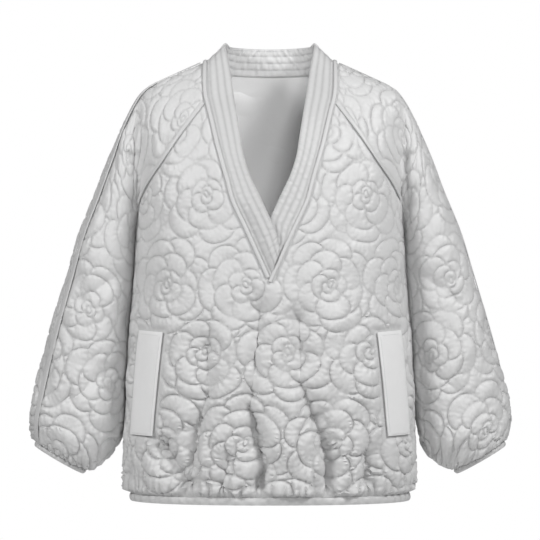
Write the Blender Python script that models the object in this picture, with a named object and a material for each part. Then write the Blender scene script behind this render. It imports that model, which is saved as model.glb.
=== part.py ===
"""Quilted lounge jacket: a pullover with a lapped V neck band, raglan sleeves, welt pockets and bound edges.

Metres, +Z up, front towards -Y. The origin is the middle of the neck at the height of the shoulder seams.
Each cloth panel is cut flat in its own plane (across, along) and laid on one of two surfaces: the torso,
a stack of oval rings, or a sleeve, a stack of curves from the overarm seam to the underarm. The surface
is the level of the stitch lines: the wall lies inside it and the quilting swells out from it.
"""
import math

import bmesh
import bpy
import numpy as np
from mathutils import Vector
from mathutils.geometry import delaunay_2d_cdt

# Driving sizes
WALL = 0.003
PUFF = 0.0065
SEAM_GAP = 0.0003
FRONT, BACK = -1, 1
RIGHT, LEFT = -1, 1
HEM = -0.668
UNDERARM = -0.240
NECK_DEPTH = -0.063
BACK_NECK_DIP = 0.002
BINDING_HEIGHT = 0.011
CUFF_BINDING_HEIGHT = 0.008
BINDING_PROUD = 0.0008
CUFF_SAMPLES = 13
HEM_SAMPLES = 25
TORSO_SQUARENESS = 2.3
PROBE = 0.001
SHARP_ANGLE = math.radians(24)

# Torso rings: height, half_width, front, back
TORSO = np.array((
    (-0.668, 0.2150, 0.124, 0.119),
    (-0.645, 0.2195, 0.131, 0.125),
    (-0.600, 0.2215, 0.137, 0.129),
    (-0.525, 0.2200, 0.141, 0.128),
    (-0.440, 0.2165, 0.141, 0.122),
    (-0.345, 0.2085, 0.137, 0.115),
    (-0.250, 0.2045, 0.130, 0.114),
    (-0.200, 0.2030, 0.124, 0.113),
    (-0.150, 0.2010, 0.112, 0.108),
    (-0.100, 0.1940, 0.090, 0.098),
    (-0.060, 0.1830, 0.064, 0.089),
    (-0.020, 0.1650, 0.030, 0.078),
    (0.010, 0.1500, 0.004, 0.068),
))
REFERENCE_RING = 6

# Edge of the V on the front: height, x
V_EDGE = np.array((
    (-0.342, 0.0000), (-0.300, 0.0190), (-0.260, 0.0372), (-0.2155, 0.0573), (-0.190, 0.0640),
    (-0.160, 0.0725), (-0.130, 0.0808), (-0.095, 0.0890), (-0.063, 0.0975),
))

# Raglan seams, from the neck to the underarm: x, height
RAGLAN = {
    FRONT: ((0.0975, -0.063), (0.131, -0.1085), (0.1635, -0.1565), (0.189, -0.195), (0.2005, -0.220)),
    BACK: ((0.060, -0.016), (0.098, -0.060), (0.138, -0.110), (0.175, -0.165), (0.198, -0.210)),
}

# Sleeve stations from the neck to the cuff: over_x, over_z, mid_y, front_reach, back_reach
SLEEVE = np.array((
    (0.1000, -0.002, 0.004, 0.020, 0.025),
    (0.1450, -0.022, 0.006, 0.045, 0.040),
    (0.1880, -0.043, 0.008, 0.055, 0.050),
    (0.2090, -0.066, 0.008, 0.060, 0.056),
    (0.2320, -0.112, 0.008, 0.066, 0.066),
    (0.2500, -0.154, 0.008, 0.074, 0.076),
    (0.2680, -0.202, 0.009, 0.080, 0.082),
    (0.2935, -0.264, 0.010, 0.084, 0.086),
    (0.3120, -0.324, 0.011, 0.086, 0.088),
    (0.3355, -0.402, 0.012, 0.088, 0.090),
    (0.3545, -0.471, 0.012, 0.088, 0.090),
    (0.3690, -0.532, 0.011, 0.086, 0.086),
    (0.3715, -0.557, 0.009, 0.080, 0.080),
    (0.3675, -0.578, 0.007, 0.062, 0.062),
    (0.3605, -0.589, 0.006, 0.046, 0.046),
))
UNDERARM_STATION = 5
CUFF_STATION = len(SLEEVE) - 1

# Underarm seam of the sleeve, stations after the underarm: x, height
SLEEVE_UNDER = (
    (0.2145, -0.266), (0.2165, -0.312), (0.2200, -0.366), (0.2265, -0.440), (0.2290, -0.513),
    (0.2315, -0.573), (0.2455, -0.607), (0.2695, -0.630), (0.2850, -0.632),
)
UNDERARM_CLEAR = 0.0012
UNDERARM_CLEAR_FROM = 3

# Way the sleeve leaves the raglan seam: off the chest (side, fore, up), its handle as a share of the chord,
# and the station from which the underarm's own way takes over
CHEST_WAY = (0.35, 0.85, 0.35)
CHEST_HANDLE = 0.32
CHEST_END = 2.6

# How far the overarm seam is turned to the front, as a share of the front curve
OVERARM_TURN = {RIGHT: 0.20, LEFT: 0.0}

# Free edge of the neck band, from the V to the back: x, y, height. The first rows lie on the front.
BAND_EDGE_FRONT = (
    (-0.0146, -0.2905), (-0.0122, -0.278), (-0.0075, -0.262), (0.0080, -0.2285), (0.0200, -0.2025),
    (0.031, -0.179), (0.040, -0.150), (0.0446, -0.121), (0.050, -0.088),
)
BAND_EDGE_BACK = (
    (0.0560, -0.0480, -0.052), (0.0610, -0.0240, -0.018), (0.0690, 0.0060, 0.026), (0.0620, 0.0450, 0.025),
    (0.0440, 0.0620, 0.024), (0.0220, 0.0680, 0.0232), (0.0, 0.0700, 0.0228),
)
BAND_SHOULDER = len(BAND_EDGE_FRONT) + 2
BAND_V_TOP = len(BAND_EDGE_FRONT)
BAND_CENTRE_BACK = len(BAND_EDGE_FRONT) + len(BAND_EDGE_BACK) - 1
BAND_BACK_CORNER = BAND_CENTRE_BACK - 2
BAND_CHANNELS = 4
BAND_RIB = 0.0014
BAND_WALL = 0.003
BAND_LAP = 0.0060
BAND_LAP_TOP = 5
BAND_TUCK = 1.6
BAND_TUCK_END = 2.6
BAND_POINT = 0.009
BAND_TUCK_WIDTH = 0.55
BAND_LAP_WAY = (0.05, 0.60)

# Soft troughs seen from the front: x, height, to x, to height, depth, half width
FRONT_FOLDS = (
    (-0.016, -0.385, -0.030, -0.520, 0.007, 0.016),
    (-0.032, -0.530, -0.012, -0.618, 0.012, 0.012),
    (-0.012, -0.618, -0.018, -0.648, 0.014, 0.011),
    (0.046, -0.400, 0.049, -0.494, 0.007, 0.015),
    (0.049, -0.494, 0.069, -0.546, 0.009, 0.013),
    (0.069, -0.546, 0.092, -0.608, 0.012, 0.012),
    (0.092, -0.608, 0.089, -0.648, 0.014, 0.011),
    (0.150, -0.606, 0.147, -0.648, 0.008, 0.010),
    (-0.164, -0.590, -0.140, -0.629, 0.009, 0.012),
    (-0.140, -0.629, -0.122, -0.648, 0.009, 0.011),
    (-0.097, -0.440, -0.098, -0.510, 0.006, 0.017),
    (-0.098, -0.510, -0.117, -0.567, 0.009, 0.014),
    (-0.117, -0.567, -0.120, -0.620, 0.009, 0.012),
    (-0.066, -0.612, -0.072, -0.648, 0.007, 0.010),
)
BACK_FOLDS = (
    (-0.086, -0.520, -0.078, -0.648, 0.010, 0.013),
    (0.016, -0.560, 0.026, -0.648, 0.009, 0.012),
    (0.122, -0.530, 0.108, -0.645, 0.010, 0.013),
)
FOLD_STEP = 0.014
SLEEVE_FOLDS = (
    (0.206, -0.075, 0.212, -0.150, 0.008, 0.012),
    (0.211, -0.150, 0.213, -0.222, 0.016, 0.012),
    (0.232, -0.330, 0.290, -0.372, 0.005, 0.012),
    (0.240, -0.470, 0.300, -0.520, 0.005, 0.012),
)

FOLD_SEAM_FADE = (0.016, 0.036)

# Where a sleeve lies against the torso and presses the quilting: x, its spread, spread in y, share pressed
PRESSED = (0.214, 0.016, 0.034, 0.85)
PRESSED_FROM = (-0.12, -0.20)
PRESSED_TO = (-0.640, -0.600)

# Gathers at the elastic edges: waves across one panel, height, length over which they fade
HEM_GATHERS = (32, 0.0032, 0.020)
CUFF_GATHERS = (10, 0.0032, 0.030)
GATHER_ROWS = (0.008, 0.024)

# A quilted bloom, outer petals first: petals, ring, petal radius (shares of the bloom), points on a petal
BLOOM_RADIUS = 0.054
BLOOM_RINGS = ((6, 0.62, 0.40, 7), (5, 0.34, 0.30, 5), (1, 0.0, 0.17, 4))
BLOOM_PITCH = (0.124, 0.119)
FRONT_SEED, BACK_SEED, SLEEVE_SEED = 3, 5, 11
BLOOM_ROW_SHIFT = 0.009
BLOOM_TURN = 0.7
BLOOM_RING_TURN = 0.5
BLOOM_CREST = 0.35
BLOOM_PETALS = sum(petals for petals, _, _, _ in BLOOM_RINGS)
STITCH_HIDDEN = 0.001
PUFF_SLOPE = 0.006
EDGE_PLAIN = 0.004
EDGE_FADE = 0.014
EDGE_KEEP = 0.008
POINT_KEEP = 0.0060
FILL_STEP = 0.034
FILL_KEEP = 0.012
INSIDE_STEP = 0.046

# Pocket welts seen from the front, from the top outer corner: x, height
WELT = ((0.1964, -0.416), (0.1609, -0.4185), (0.1769, -0.576), (0.2103, -0.575))
WELT_LIFT = 0.0024
WELT_WALL = 0.0028
WELT_FADE = 0.012
WELT_ROWS = 9
WELT_COLUMNS = 5

# Strips along seams: half width, lift, thickness
RAGLAN_STRIP = (0.0032, 0.0018, 0.0012)
OVERARM_STRIP = (0.0055, 0.0016, 0.0012)
PIPING = (0.0030, 0.0022, 0.0022)
STRIP_TOP = 0.8
STRIP_START = 0.15
STRIP_END = 0.9
OVERARM_END = 0.1

LINING_INSET = 0.0100
LINING_WALL = 0.001
LINING_MARGIN = 0.010
LINING_STEP = 0.060

# Finishes: colour, roughness
SHELL = ("quilted_satin", (0.66, 0.66, 0.66, 1.0), 0.46)
TRIM = ("plain_satin", (0.68, 0.68, 0.68, 1.0), 0.42)
LINING = ("lining_satin", (0.58, 0.58, 0.58, 1.0), 0.40)


# Small tools for tables, curves and outlines

def smooth(knots, values, at):
    """Cubic through the rows of a table whose knots ascend."""
    knots = np.asarray(knots, float)
    values = np.asarray(values, float)
    at = np.clip(np.asarray(at, float), knots[0], knots[-1])
    slopes = np.gradient(values, knots, axis=0)
    cell = np.clip(np.searchsorted(knots, at) - 1, 0, len(knots) - 2)
    width = knots[cell + 1] - knots[cell]
    share = (at - knots[cell]) / width
    if values.ndim > 1:
        width, share = width[..., None], share[..., None]
    rest = 1 - share
    return ((1 + 2 * share) * rest ** 2 * values[cell] + share ** 2 * (3 - 2 * share) * values[cell + 1]
            + share * rest ** 2 * width * slopes[cell] - share ** 2 * rest * width * slopes[cell + 1])


def ramp(value, start, end):
    """0 before start, 1 after end, with soft ends."""
    share = np.clip((value - start) / (end - start), 0, 1)
    return share * share * (3 - 2 * share)


def unit(vectors):
    return vectors / np.maximum(np.linalg.norm(vectors, axis=-1, keepdims=True), 1e-12)


def stack(*columns):
    return np.stack(np.broadcast_arrays(*columns), axis=-1).astype(float)


def segment_distance(points, start, end):
    """Distance to a straight segment."""
    line = np.asarray(end, float) - np.asarray(start, float)
    share = np.clip(((points - start) @ line) / (line @ line), 0, 1)
    return np.linalg.norm(points - (start + share[..., None] * line), axis=-1)


def outline_distance(points, loop):
    """Distance to a closed outline, positive inside it."""
    inside = np.zeros(len(points), bool)
    nearest = np.full(len(points), np.inf)
    for start, end in zip(loop, np.roll(loop, -1, axis=0)):
        nearest = np.minimum(nearest, segment_distance(points, start, end))
        spans = (start[1] > points[:, 1]) != (end[1] > points[:, 1])
        rise = end[1] - start[1] if abs(end[1] - start[1]) > 1e-12 else 1e-12
        crossing = start[0] + (points[:, 1] - start[1]) / rise * (end[0] - start[0])
        inside ^= spans & (points[:, 0] < crossing)
    return np.where(inside, nearest, -nearest)


def trough(x, z, folds):
    """Depth of the soft troughs at points seen from the front."""
    points = stack(x, z)
    depth = np.zeros(points.shape[:-1])
    for x0, z0, x1, z1, deep, half_width in folds:
        distance = segment_distance(points, np.array((x0, z0)), np.array((x1, z1)))
        depth = np.maximum(depth, deep * np.exp(-(distance / half_width) ** 2))
    return depth


# The torso surface

def ring_table():
    """Angle on the oval ring against the length along it, from the centre to the side."""
    angle = np.linspace(0, math.pi / 2, 400)
    half_width, front = TORSO[REFERENCE_RING, 1:3]
    x = half_width * np.sin(angle) ** (2 / TORSO_SQUARENESS)
    y = front * np.cos(angle) ** (2 / TORSO_SQUARENESS)
    return angle, np.concatenate(([0], np.cumsum(np.hypot(np.diff(x), np.diff(y)))))


RING_ANGLE, RING_LENGTH = ring_table()
QUARTER = RING_LENGTH[-1]


def torso_sizes(along, facing):
    half_width = smooth(TORSO[:, 0], TORSO[:, 1], along)
    depth = smooth(TORSO[:, 0], TORSO[:, 2 if facing == FRONT else 3], along)
    return half_width, depth


def torso_across(x, along, facing):
    """Length round the torso of a point seen from the front."""
    half_width, _ = torso_sizes(along, facing)
    angle = np.arcsin(np.clip(np.abs(x) / half_width, 0, 1) ** (TORSO_SQUARENESS / 2))
    return np.sign(x) * np.interp(angle, RING_ANGLE, RING_LENGTH)


def torso(facing, folds=()):
    """Surface of the front or the back: point and outward direction at (across, along)."""
    def surface(across, along):
        half_width, depth = torso_sizes(along, facing)
        angle = np.interp(np.abs(across), RING_LENGTH, RING_ANGLE)
        x = np.sign(across) * half_width * np.sin(angle) ** (2 / TORSO_SQUARENESS)
        y = facing * depth * np.cos(angle) ** (2 / TORSO_SQUARENESS)
        out = unit(stack(x / half_width ** 2, y / depth ** 2, np.zeros_like(x)))
        return stack(x, y, along) - out * trough(x, along, folds)[..., None], out
    return surface


def frame_at(surface, across, along):
    """Point and unit outward normal of a surface."""
    point, out = surface(across, along)
    by_across = surface(across + PROBE, along)[0] - surface(across - PROBE, along)[0]
    by_along = surface(across, along + PROBE)[0] - surface(across, along - PROBE)[0]
    normal = unit(np.cross(by_across, by_along))
    return point, normal * np.where((normal * out).sum(-1, keepdims=True) < 0, -1, 1)


# The sleeve surface

def under_points(side, facing):
    """Lower edge of the sleeve at each station: the raglan seam, then the underarm seam."""
    points = []
    for x, z in RAGLAN[facing]:
        across = torso_across(np.array(side * x), np.array(z), facing)
        points.append(torso(facing)(across, np.array(z))[0])
    half_width, _ = torso_sizes(UNDERARM, facing)
    points.append(np.array((side * half_width, 0.0, UNDERARM)))
    for (x, z), row in zip(SLEEVE_UNDER, SLEEVE[UNDERARM_STATION + 1:]):
        points.append(np.array((side * x, row[2], z)))
    return np.array(points)


class Sleeve:
    """Front or back half of a sleeve, flat as (across from the overarm seam, along from the neck)."""

    ROWS = 71
    SHARES = 33
    FINE = 97

    def __init__(self, side, facing):
        self.side, self.facing = side, facing
        self.stations = np.arange(len(SLEEVE), dtype=float)
        self.under = {half: under_points(side, half) for half in (FRONT, BACK)}
        self.folds = [(side * x0, z0, side * x1, z1, deep, wide)
                      for x0, z0, x1, z1, deep, wide in SLEEVE_FOLDS]
        self.rows = np.linspace(0, CUFF_STATION, self.ROWS)
        fine = np.linspace(0, 1, self.FINE)
        grid = self.plain(*np.meshgrid(self.rows, fine, indexing="ij"))[0]
        run = np.linalg.norm(np.diff(grid, axis=1), axis=-1)
        length = np.concatenate((np.zeros((self.ROWS, 1)), np.cumsum(run, axis=1)), axis=1)
        self.girth = length[:, -1]
        shares = np.linspace(0, 1, self.SHARES)
        self.turns = np.array([np.interp(shares, row / row[-1], fine) for row in length])
        middle = grid[:, self.FINE // 2]
        self.down = np.concatenate(([0], np.cumsum(np.linalg.norm(np.diff(middle, axis=0), axis=-1))))

    def edge(self, station, facing):
        """Lower edge: the raglan seam down to the underarm, then the underarm seam."""
        turn = UNDERARM_STATION
        upper = smooth(self.stations[:turn + 1], self.under[facing][:turn + 1], station)
        lower = smooth(self.stations[turn:], self.under[facing][turn:], station)
        return np.where((np.asarray(station) <= turn)[..., None], upper, lower)

    def curve(self, station, turn, facing):
        """Plain sleeve: point and outward direction; turn is 0 at the outermost line, 1 under the arm."""
        row = smooth(self.stations, SLEEVE, station)
        over = stack(self.side * row[..., 0], row[..., 2], row[..., 1])
        under = self.edge(station, facing)
        under[..., 0] += self.side * UNDERARM_CLEAR * ramp(station, UNDERARM_CLEAR_FROM, UNDERARM_STATION)
        reach = row[..., 3 if facing == FRONT else 4][..., None]
        fore = np.array((0.0, facing, 0.0))
        chest = unit(np.array(CHEST_WAY) * (self.side, facing, 1))
        chord = over - under
        on_chest = unit(chord - chest * (chord @ chest)[..., None])
        past = ramp(station, CHEST_END, UNDERARM_STATION)[..., None]
        leave = unit(on_chest * (1 - past) + fore * past)
        handle = CHEST_HANDLE * np.linalg.norm(chord, axis=-1, keepdims=True) * (1 - past) + reach * past
        first = over + fore * reach
        last = under + leave * handle
        turn = turn[..., None]
        rest = 1 - turn
        point = (rest ** 3 * over + 3 * rest ** 2 * turn * first
                 + 3 * rest * turn ** 2 * last + turn ** 3 * under)
        middle = (over + under) / 2
        return stack(point, unit(point - middle + 1e-9))

    def plain(self, station, turn):
        """The same with turn 0 at the overarm seam, which may lie a little towards the front."""
        shift = OVERARM_TURN[self.side] * ramp(station, 0, UNDERARM_STATION)
        if self.facing == FRONT:
            both = self.curve(station, shift + (1 - shift) * turn, FRONT)
        else:
            turn = (1 + shift) * turn - shift
            before = self.curve(station, np.abs(turn), FRONT)
            both = np.where((turn < 0)[..., None, None], before, self.curve(station, np.abs(turn), BACK))
        return both[..., 0], both[..., 1]

    def place(self, across, along):
        """Station and turn of a point of the flat cut."""
        station = np.interp(along, self.down, self.rows)
        girth = np.interp(along, self.down, self.girth)
        share = np.clip(across / girth, 0, 1) * (self.SHARES - 1)
        row = station / CUFF_STATION * (self.ROWS - 1)
        r0 = np.clip(row.astype(int), 0, self.ROWS - 2)
        s0 = np.clip(share.astype(int), 0, self.SHARES - 2)
        dr, ds = row - r0, share - s0
        turn = ((self.turns[r0, s0] * (1 - ds) + self.turns[r0, s0 + 1] * ds) * (1 - dr)
                + (self.turns[r0 + 1, s0] * (1 - ds) + self.turns[r0 + 1, s0 + 1] * ds) * dr)
        return station, turn

    def surface(self, across, along):
        point, out = self.plain(*self.place(np.asarray(across, float), np.asarray(along, float)))
        y = point[..., 1]
        depth = trough(point[..., 0], point[..., 2], self.folds) * ramp(np.abs(y), *FOLD_SEAM_FADE)
        return point - stack(0.0, np.sign(y) * depth, 0.0), out

    def flat(self, station, share):
        """Flat cut of a station and a share of the way from the overarm to the lower edge."""
        along = np.interp(station, self.rows, self.down)
        return stack(share * np.interp(along, self.down, self.girth), along)


# Seams that several pieces share

def samples(start, end, count):
    return np.linspace(start, end, count)


SIDE_HEIGHTS = samples(HEM, UNDERARM, 25)
RAGLAN_STATIONS = samples(0, UNDERARM_STATION, 13)
ARM_STATIONS = np.concatenate((RAGLAN_STATIONS, samples(UNDERARM_STATION, CUFF_STATION, 25)[1:]))
LOWER_STATIONS = ARM_STATIONS[len(RAGLAN_STATIONS) - 1:]
NECK_TURNS = samples(0, 1, 5)
V_STATIONS = samples(0, BAND_V_TOP, 2 * BAND_V_TOP + 1)
BACK_NECK_X = samples(RAGLAN[BACK][0][0], 0, 5)


def v_height(station):
    return np.interp(station, (0, BAND_V_TOP), (V_EDGE[0, 0], V_EDGE[-1, 0]))


def v_cut(side, station):
    """Flat cut on the front of the V edge."""
    z = v_height(station)
    x = side * np.maximum(smooth(V_EDGE[:, 0], V_EDGE[:, 1], z), 0)
    return stack(torso_across(x, z, FRONT), z)


def back_neck_cut(x):
    z = RAGLAN[BACK][0][1] - BACK_NECK_DIP * (1 - (np.abs(x) / RAGLAN[BACK][0][0]) ** 2)
    return stack(torso_across(x, z, BACK), z)


def raglan(sleeve, stations):
    """Points of a raglan seam, its flat cut on the torso, and the wall direction on either side of it."""
    point = sleeve.edge(stations, sleeve.facing)
    across = torso_across(point[:, 0], point[:, 2], sleeve.facing)
    across = np.where(stations >= UNDERARM_STATION, sleeve.side * QUARTER, across)
    cut = stack(across, point[:, 2])
    on_torso = frame_at(torso(sleeve.facing), cut[:, 0], cut[:, 1])[1]
    flat = sleeve.flat(stations, np.ones_like(stations))
    on_sleeve = frame_at(sleeve.surface, flat[:, 0], flat[:, 1])[1]
    shared = np.clip((on_torso * on_sleeve).sum(-1, keepdims=True), 0, 1)
    return point, cut, unit(on_torso + shared * on_sleeve), unit(on_sleeve + shared * on_torso)


# Quilting

def bloom_discs(low, high, seed):
    """Petals over a flat cut, bottom first: x, y, radius, crest x, crest y, points round it."""
    random = np.random.default_rng(seed)
    shift = random.uniform(0, 1, 2) * BLOOM_PITCH
    discs = []
    rows = np.arange(low[1] - shift[1] - BLOOM_PITCH[1], high[1] + BLOOM_PITCH[1], BLOOM_PITCH[1])
    for row, y in enumerate(rows):
        for x in np.arange(low[0] - shift[0] - BLOOM_PITCH[0] * (1 + row % 2 / 2), high[0] + BLOOM_PITCH[0],
                           BLOOM_PITCH[0]):
            centre = np.array((x, y + BLOOM_ROW_SHIFT * (1 if row % 2 else -1)))
            turn = random.uniform(-BLOOM_TURN, BLOOM_TURN)
            for ring, (petals, reach, radius, points) in enumerate(BLOOM_RINGS):
                for petal in range(petals):
                    angle = turn + ring * BLOOM_RING_TURN + math.tau * petal / petals
                    away = np.array((math.cos(angle), math.sin(angle)))
                    place = centre + away * reach * BLOOM_RADIUS
                    crest = place + away * BLOOM_CREST * radius * BLOOM_RADIUS * (reach > 0)
                    discs.append((*place, radius * BLOOM_RADIUS, *crest, points))
    return np.array(discs)


def stitch_distance(points, discs):
    """Distance of flat points to the nearest stitch line that shows."""
    distance = np.full(len(points), np.inf)
    for x, y, radius, _, _, _ in discs:
        gap = np.hypot(points[:, 0] - x, points[:, 1] - y) - radius
        distance = np.where(gap < 0, -gap, np.minimum(distance, gap))
    return distance


def stitch_points(discs):
    """Corners of the stitch lines that show, and the edges that join them."""
    points, edges = [], []
    for index, (x, y, radius, _, _, count) in enumerate(discs):
        angle = math.tau * np.arange(int(count)) / count
        ring = np.stack((x + radius * np.cos(angle), y + radius * np.sin(angle)), axis=1)
        shown = np.ones(len(ring), bool)
        for above in discs[index + 1:index + 1 + BLOOM_PETALS]:
            shown &= np.hypot(ring[:, 0] - above[0], ring[:, 1] - above[1]) > above[2] - STITCH_HIDDEN
        first = len(points)
        order = {corner: first + number for number, corner in enumerate(np.flatnonzero(shown))}
        points.extend(ring[shown])
        for corner, number in order.items():
            following = (corner + 1) % len(ring)
            if following in order:
                edges.append((number, order[following]))
    return np.array(points), edges


def apart(points, keep):
    """Numbers of the points that stay when any nearer than keep to an earlier one is left out."""
    kept = []
    for number, point in enumerate(points):
        if not kept or np.hypot(*(points[kept] - point).T).min() > keep:
            kept.append(number)
    return kept


def hexagon_points(low, high, step):
    rows = np.arange(low[1], high[1], step * math.sqrt(0.75))
    grid = [(x + step / 2 * (number % 2), y) for number, y in enumerate(rows)
            for x in np.arange(low[0], high[0], step)]
    return np.array(grid)


def gather_points(edge, gathers):
    """Crests and troughs of the gathers beside an elastic edge, given as a flat line with its inward way."""
    waves = gathers[0]
    start, end, inward = edge
    share = (np.arange(2 * waves) + 0.5) / (2 * waves)
    rows = [start + share[:, None] * (end - start) + inward * away for away in GATHER_ROWS]
    return np.concatenate(rows)


def gather_height(points, edge, gathers):
    waves, height, fade = gathers
    start, end, inward = edge
    line = end - start
    share = ((points - start) @ line) / (line @ line)
    away = np.maximum((points - start) @ inward, 0)
    return height * (0.5 - 0.5 * np.cos(math.tau * waves * share)) * np.exp(-away / fade)


# Solids

def add_object(name, points, faces, finish):
    """A closed solid with its faces outwards."""
    mesh = bpy.data.meshes.new(name)
    mesh.from_pydata([tuple(point) for point in points], [], [tuple(map(int, face)) for face in faces])
    work = bmesh.new()
    work.from_mesh(mesh)
    bmesh.ops.recalc_face_normals(work, faces=work.faces)
    bmesh.ops.triangulate(work, faces=work.faces)
    work.to_mesh(mesh)
    work.free()
    mesh.shade_smooth()
    mesh.set_sharp_from_angle(angle=SHARP_ANGLE)
    mesh.materials.append(material(*finish))
    item = bpy.data.objects.new(name, mesh)
    item.parent = root
    collection.objects.link(item)
    return item


def material(name, colour, roughness):
    if name in bpy.data.materials:
        return bpy.data.materials[name]
    made = bpy.data.materials.new(name)
    made.use_nodes = True
    shader = made.node_tree.nodes["Principled BSDF"]
    shader.inputs["Base Color"].default_value = colour
    shader.inputs["Roughness"].default_value = roughness
    shader.inputs["Metallic"].default_value = 0.0
    return made


def triangulate(loop, inner, edges):
    """Triangles of a flat cut: points, faces, and for each point its number in loop + inner, or -1."""
    start = len(loop)
    corners = [Vector(point) for point in np.concatenate((loop, inner))]
    links = [(start + a, start + b) for a, b in edges]
    points, _, faces, origin, _, _ = delaunay_2d_cdt(corners, links, [list(range(start))], 1, 1e-6)
    return (np.array([tuple(point) for point in points]), faces,
            np.array([source[0] if source else -1 for source in origin]))


def inset(points, normals, gap, turn):
    """Outline moved into the cloth by half a seam gap."""
    ahead = unit(np.roll(points, -1, axis=0) - points)
    behind = np.roll(ahead, 1, axis=0)
    into = turn * (unit(np.cross(normals, ahead)) + unit(np.cross(normals, behind)))
    square = np.maximum((into ** 2).sum(-1, keepdims=True), 0.5)
    return points + gap * 2 * into / square


def fold_points(folds, facing):
    """Flat points of the torso along its troughs: on the bottom and on both flanks."""
    points = []
    for x0, z0, x1, z1, _, half_width in folds:
        start, end = np.array((x0, z0)), np.array((x1, z1))
        along = unit(end - start)
        share = samples(0, 1, math.ceil(math.dist(start, end) / FOLD_STEP) + 1)[:, None]
        for flank in (0, -half_width, half_width):
            points.append(start + share * (end - start) + flank * np.array((-along[1], along[0])))
    x, z = np.concatenate(points).T
    return stack(torso_across(x, z, facing), z)


def cloth(name, surface, loop, discs, finish, seam=None, gathers=None, plain_under=(), bends=(), level=0.0,
          wall=WALL, inside_step=INSIDE_STEP):
    """Wall of cloth over a flat outline; quilting and gathers swell the outer side, the inside is plain.

    seam gives points and wall directions for part of the outline: first corner, points, directions.
    bends are flat points that both sides of the wall need where the surface bends.
    """
    loop = np.asarray(loop, float)
    rim, rim_normal = frame_at(surface, loop[:, 0], loop[:, 1])
    if seam:
        for first, points, directions in seam:
            rim[first:first + len(points)] = points
            rim_normal[first:first + len(points)] = directions
    centre = loop.mean(axis=0)
    area = np.cross(loop - centre, np.roll(loop, -1, axis=0) - centre).sum()
    across = surface(centre[:1] + PROBE, centre[1:])[0] - surface(centre[:1] - PROBE, centre[1:])[0]
    along = surface(centre[:1], centre[1:] + PROBE)[0] - surface(centre[:1], centre[1:] - PROBE)[0]
    out = surface(centre[:1], centre[1:])[1]
    turn = np.sign(area) * np.sign((np.cross(across, along) * out).sum())
    rim = inset(rim, rim_normal, SEAM_GAP / 2, turn)

    low, high = loop.min(axis=0), loop.max(axis=0)
    fill = hexagon_points(low, high, FILL_STEP)
    bends = np.reshape(bends, (-1, 2))
    plain = np.concatenate((bends, hexagon_points(low, high, inside_step)))
    plain = plain[outline_distance(plain, loop) > EDGE_KEEP]
    plain = plain[apart(plain, POINT_KEEP)]
    if discs is None:
        inner, edges = plain, []
    else:
        stitches, links = stitch_points(discs)
        shaping = [bends, discs[:, 3:5], stitches, fill]
        if gathers:
            shaping.insert(0, gather_points(*gathers))
        before = sum(len(part) for part in shaping[:-2])
        links = [(a + before, b + before) for a, b in links]
        inner = np.concatenate(shaping)
        usable = np.flatnonzero(outline_distance(inner, loop) > POINT_KEEP)
        far = stitch_distance(inner, discs)
        is_fill = usable >= len(inner) - len(fill)
        usable = usable[~is_fill | (far[usable] > FILL_KEEP)]
        kept = usable[apart(inner[usable], POINT_KEEP)]
        number = {int(old): new for new, old in enumerate(kept)}
        edges = [(number[a], number[b]) for a, b in links if a in number and b in number]
        inner = inner[kept]

    flat, faces, source = triangulate(loop, inner, edges)
    count = len(loop)
    outer, normal = frame_at(surface, flat[:, 0], flat[:, 1])
    height = np.zeros(len(flat))
    if discs is not None:
        edge_gap = outline_distance(flat, loop)
        height = PUFF * (1 - np.exp(-stitch_distance(flat, discs) / PUFF_SLOPE))
        height *= ramp(edge_gap, EDGE_PLAIN, EDGE_PLAIN + EDGE_FADE)
        for quad in plain_under:
            height *= ramp(-outline_distance(flat, quad), 0, WELT_FADE)
        if gathers:
            gathered = gather_height(flat, *gathers) * ramp(edge_gap, 0, EDGE_PLAIN)
            height = np.maximum(height, gathered)
        height *= pressed(outer)
    outer = outer + normal * (level + height)[:, None]
    on_rim = (source >= 0) & (source < count)
    outer[on_rim] = rim[source[on_rim]] + level * rim_normal[source[on_rim]]

    flat_in, faces_in, source_in = triangulate(loop, plain, [])
    inside, normal_in = frame_at(surface, flat_in[:, 0], flat_in[:, 1])
    inside = inside + normal_in * (level - wall)
    on_rim_in = (source_in >= 0) & (source_in < count)
    inside[on_rim_in] = rim[source_in[on_rim_in]] + (level - wall) * rim_normal[source_in[on_rim_in]]

    outer_number = {int(source[i]): i for i in np.flatnonzero(on_rim)}
    inner_number = {int(source_in[i]): i + len(outer) for i in np.flatnonzero(on_rim_in)}
    skins = [list(face) for face in faces]
    skins += [[corner + len(outer) for corner in reversed(face)] for face in faces_in]
    for corner in range(count):
        ahead = (corner + 1) % count
        skins.append((outer_number[corner], outer_number[ahead], inner_number[ahead], inner_number[corner]))
    return add_object(name, np.concatenate((outer, inside)), skins, finish)


def pressed(points):
    """Share of the swelling left where a sleeve lies against the torso."""
    side = np.abs(points[:, 0])
    x, spread_x, spread_y, share = PRESSED
    near = np.exp(-((side - x) / spread_x) ** 2 - (points[:, 1] / spread_y) ** 2)
    height = points[:, 2]
    return 1 - share * near * ramp(height, *PRESSED_TO) * ramp(height, *PRESSED_FROM)


def lofted(name, sections, finish, closed=False):
    """Solid through rings of equal corner count."""
    sections = np.asarray(sections)
    rings, corners = sections.shape[:2]
    faces = []
    for ring in range(rings if closed else rings - 1):
        following = (ring + 1) % rings
        for corner in range(corners):
            beside = (corner + 1) % corners
            faces.append((ring * corners + corner, ring * corners + beside,
                          following * corners + beside, following * corners + corner))
    if not closed:
        faces.append(tuple(range(corners)))
        faces.append(tuple((rings - 1) * corners + corner for corner in reversed(range(corners))))
    return add_object(name, sections.reshape(-1, 3), faces, finish)


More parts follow.
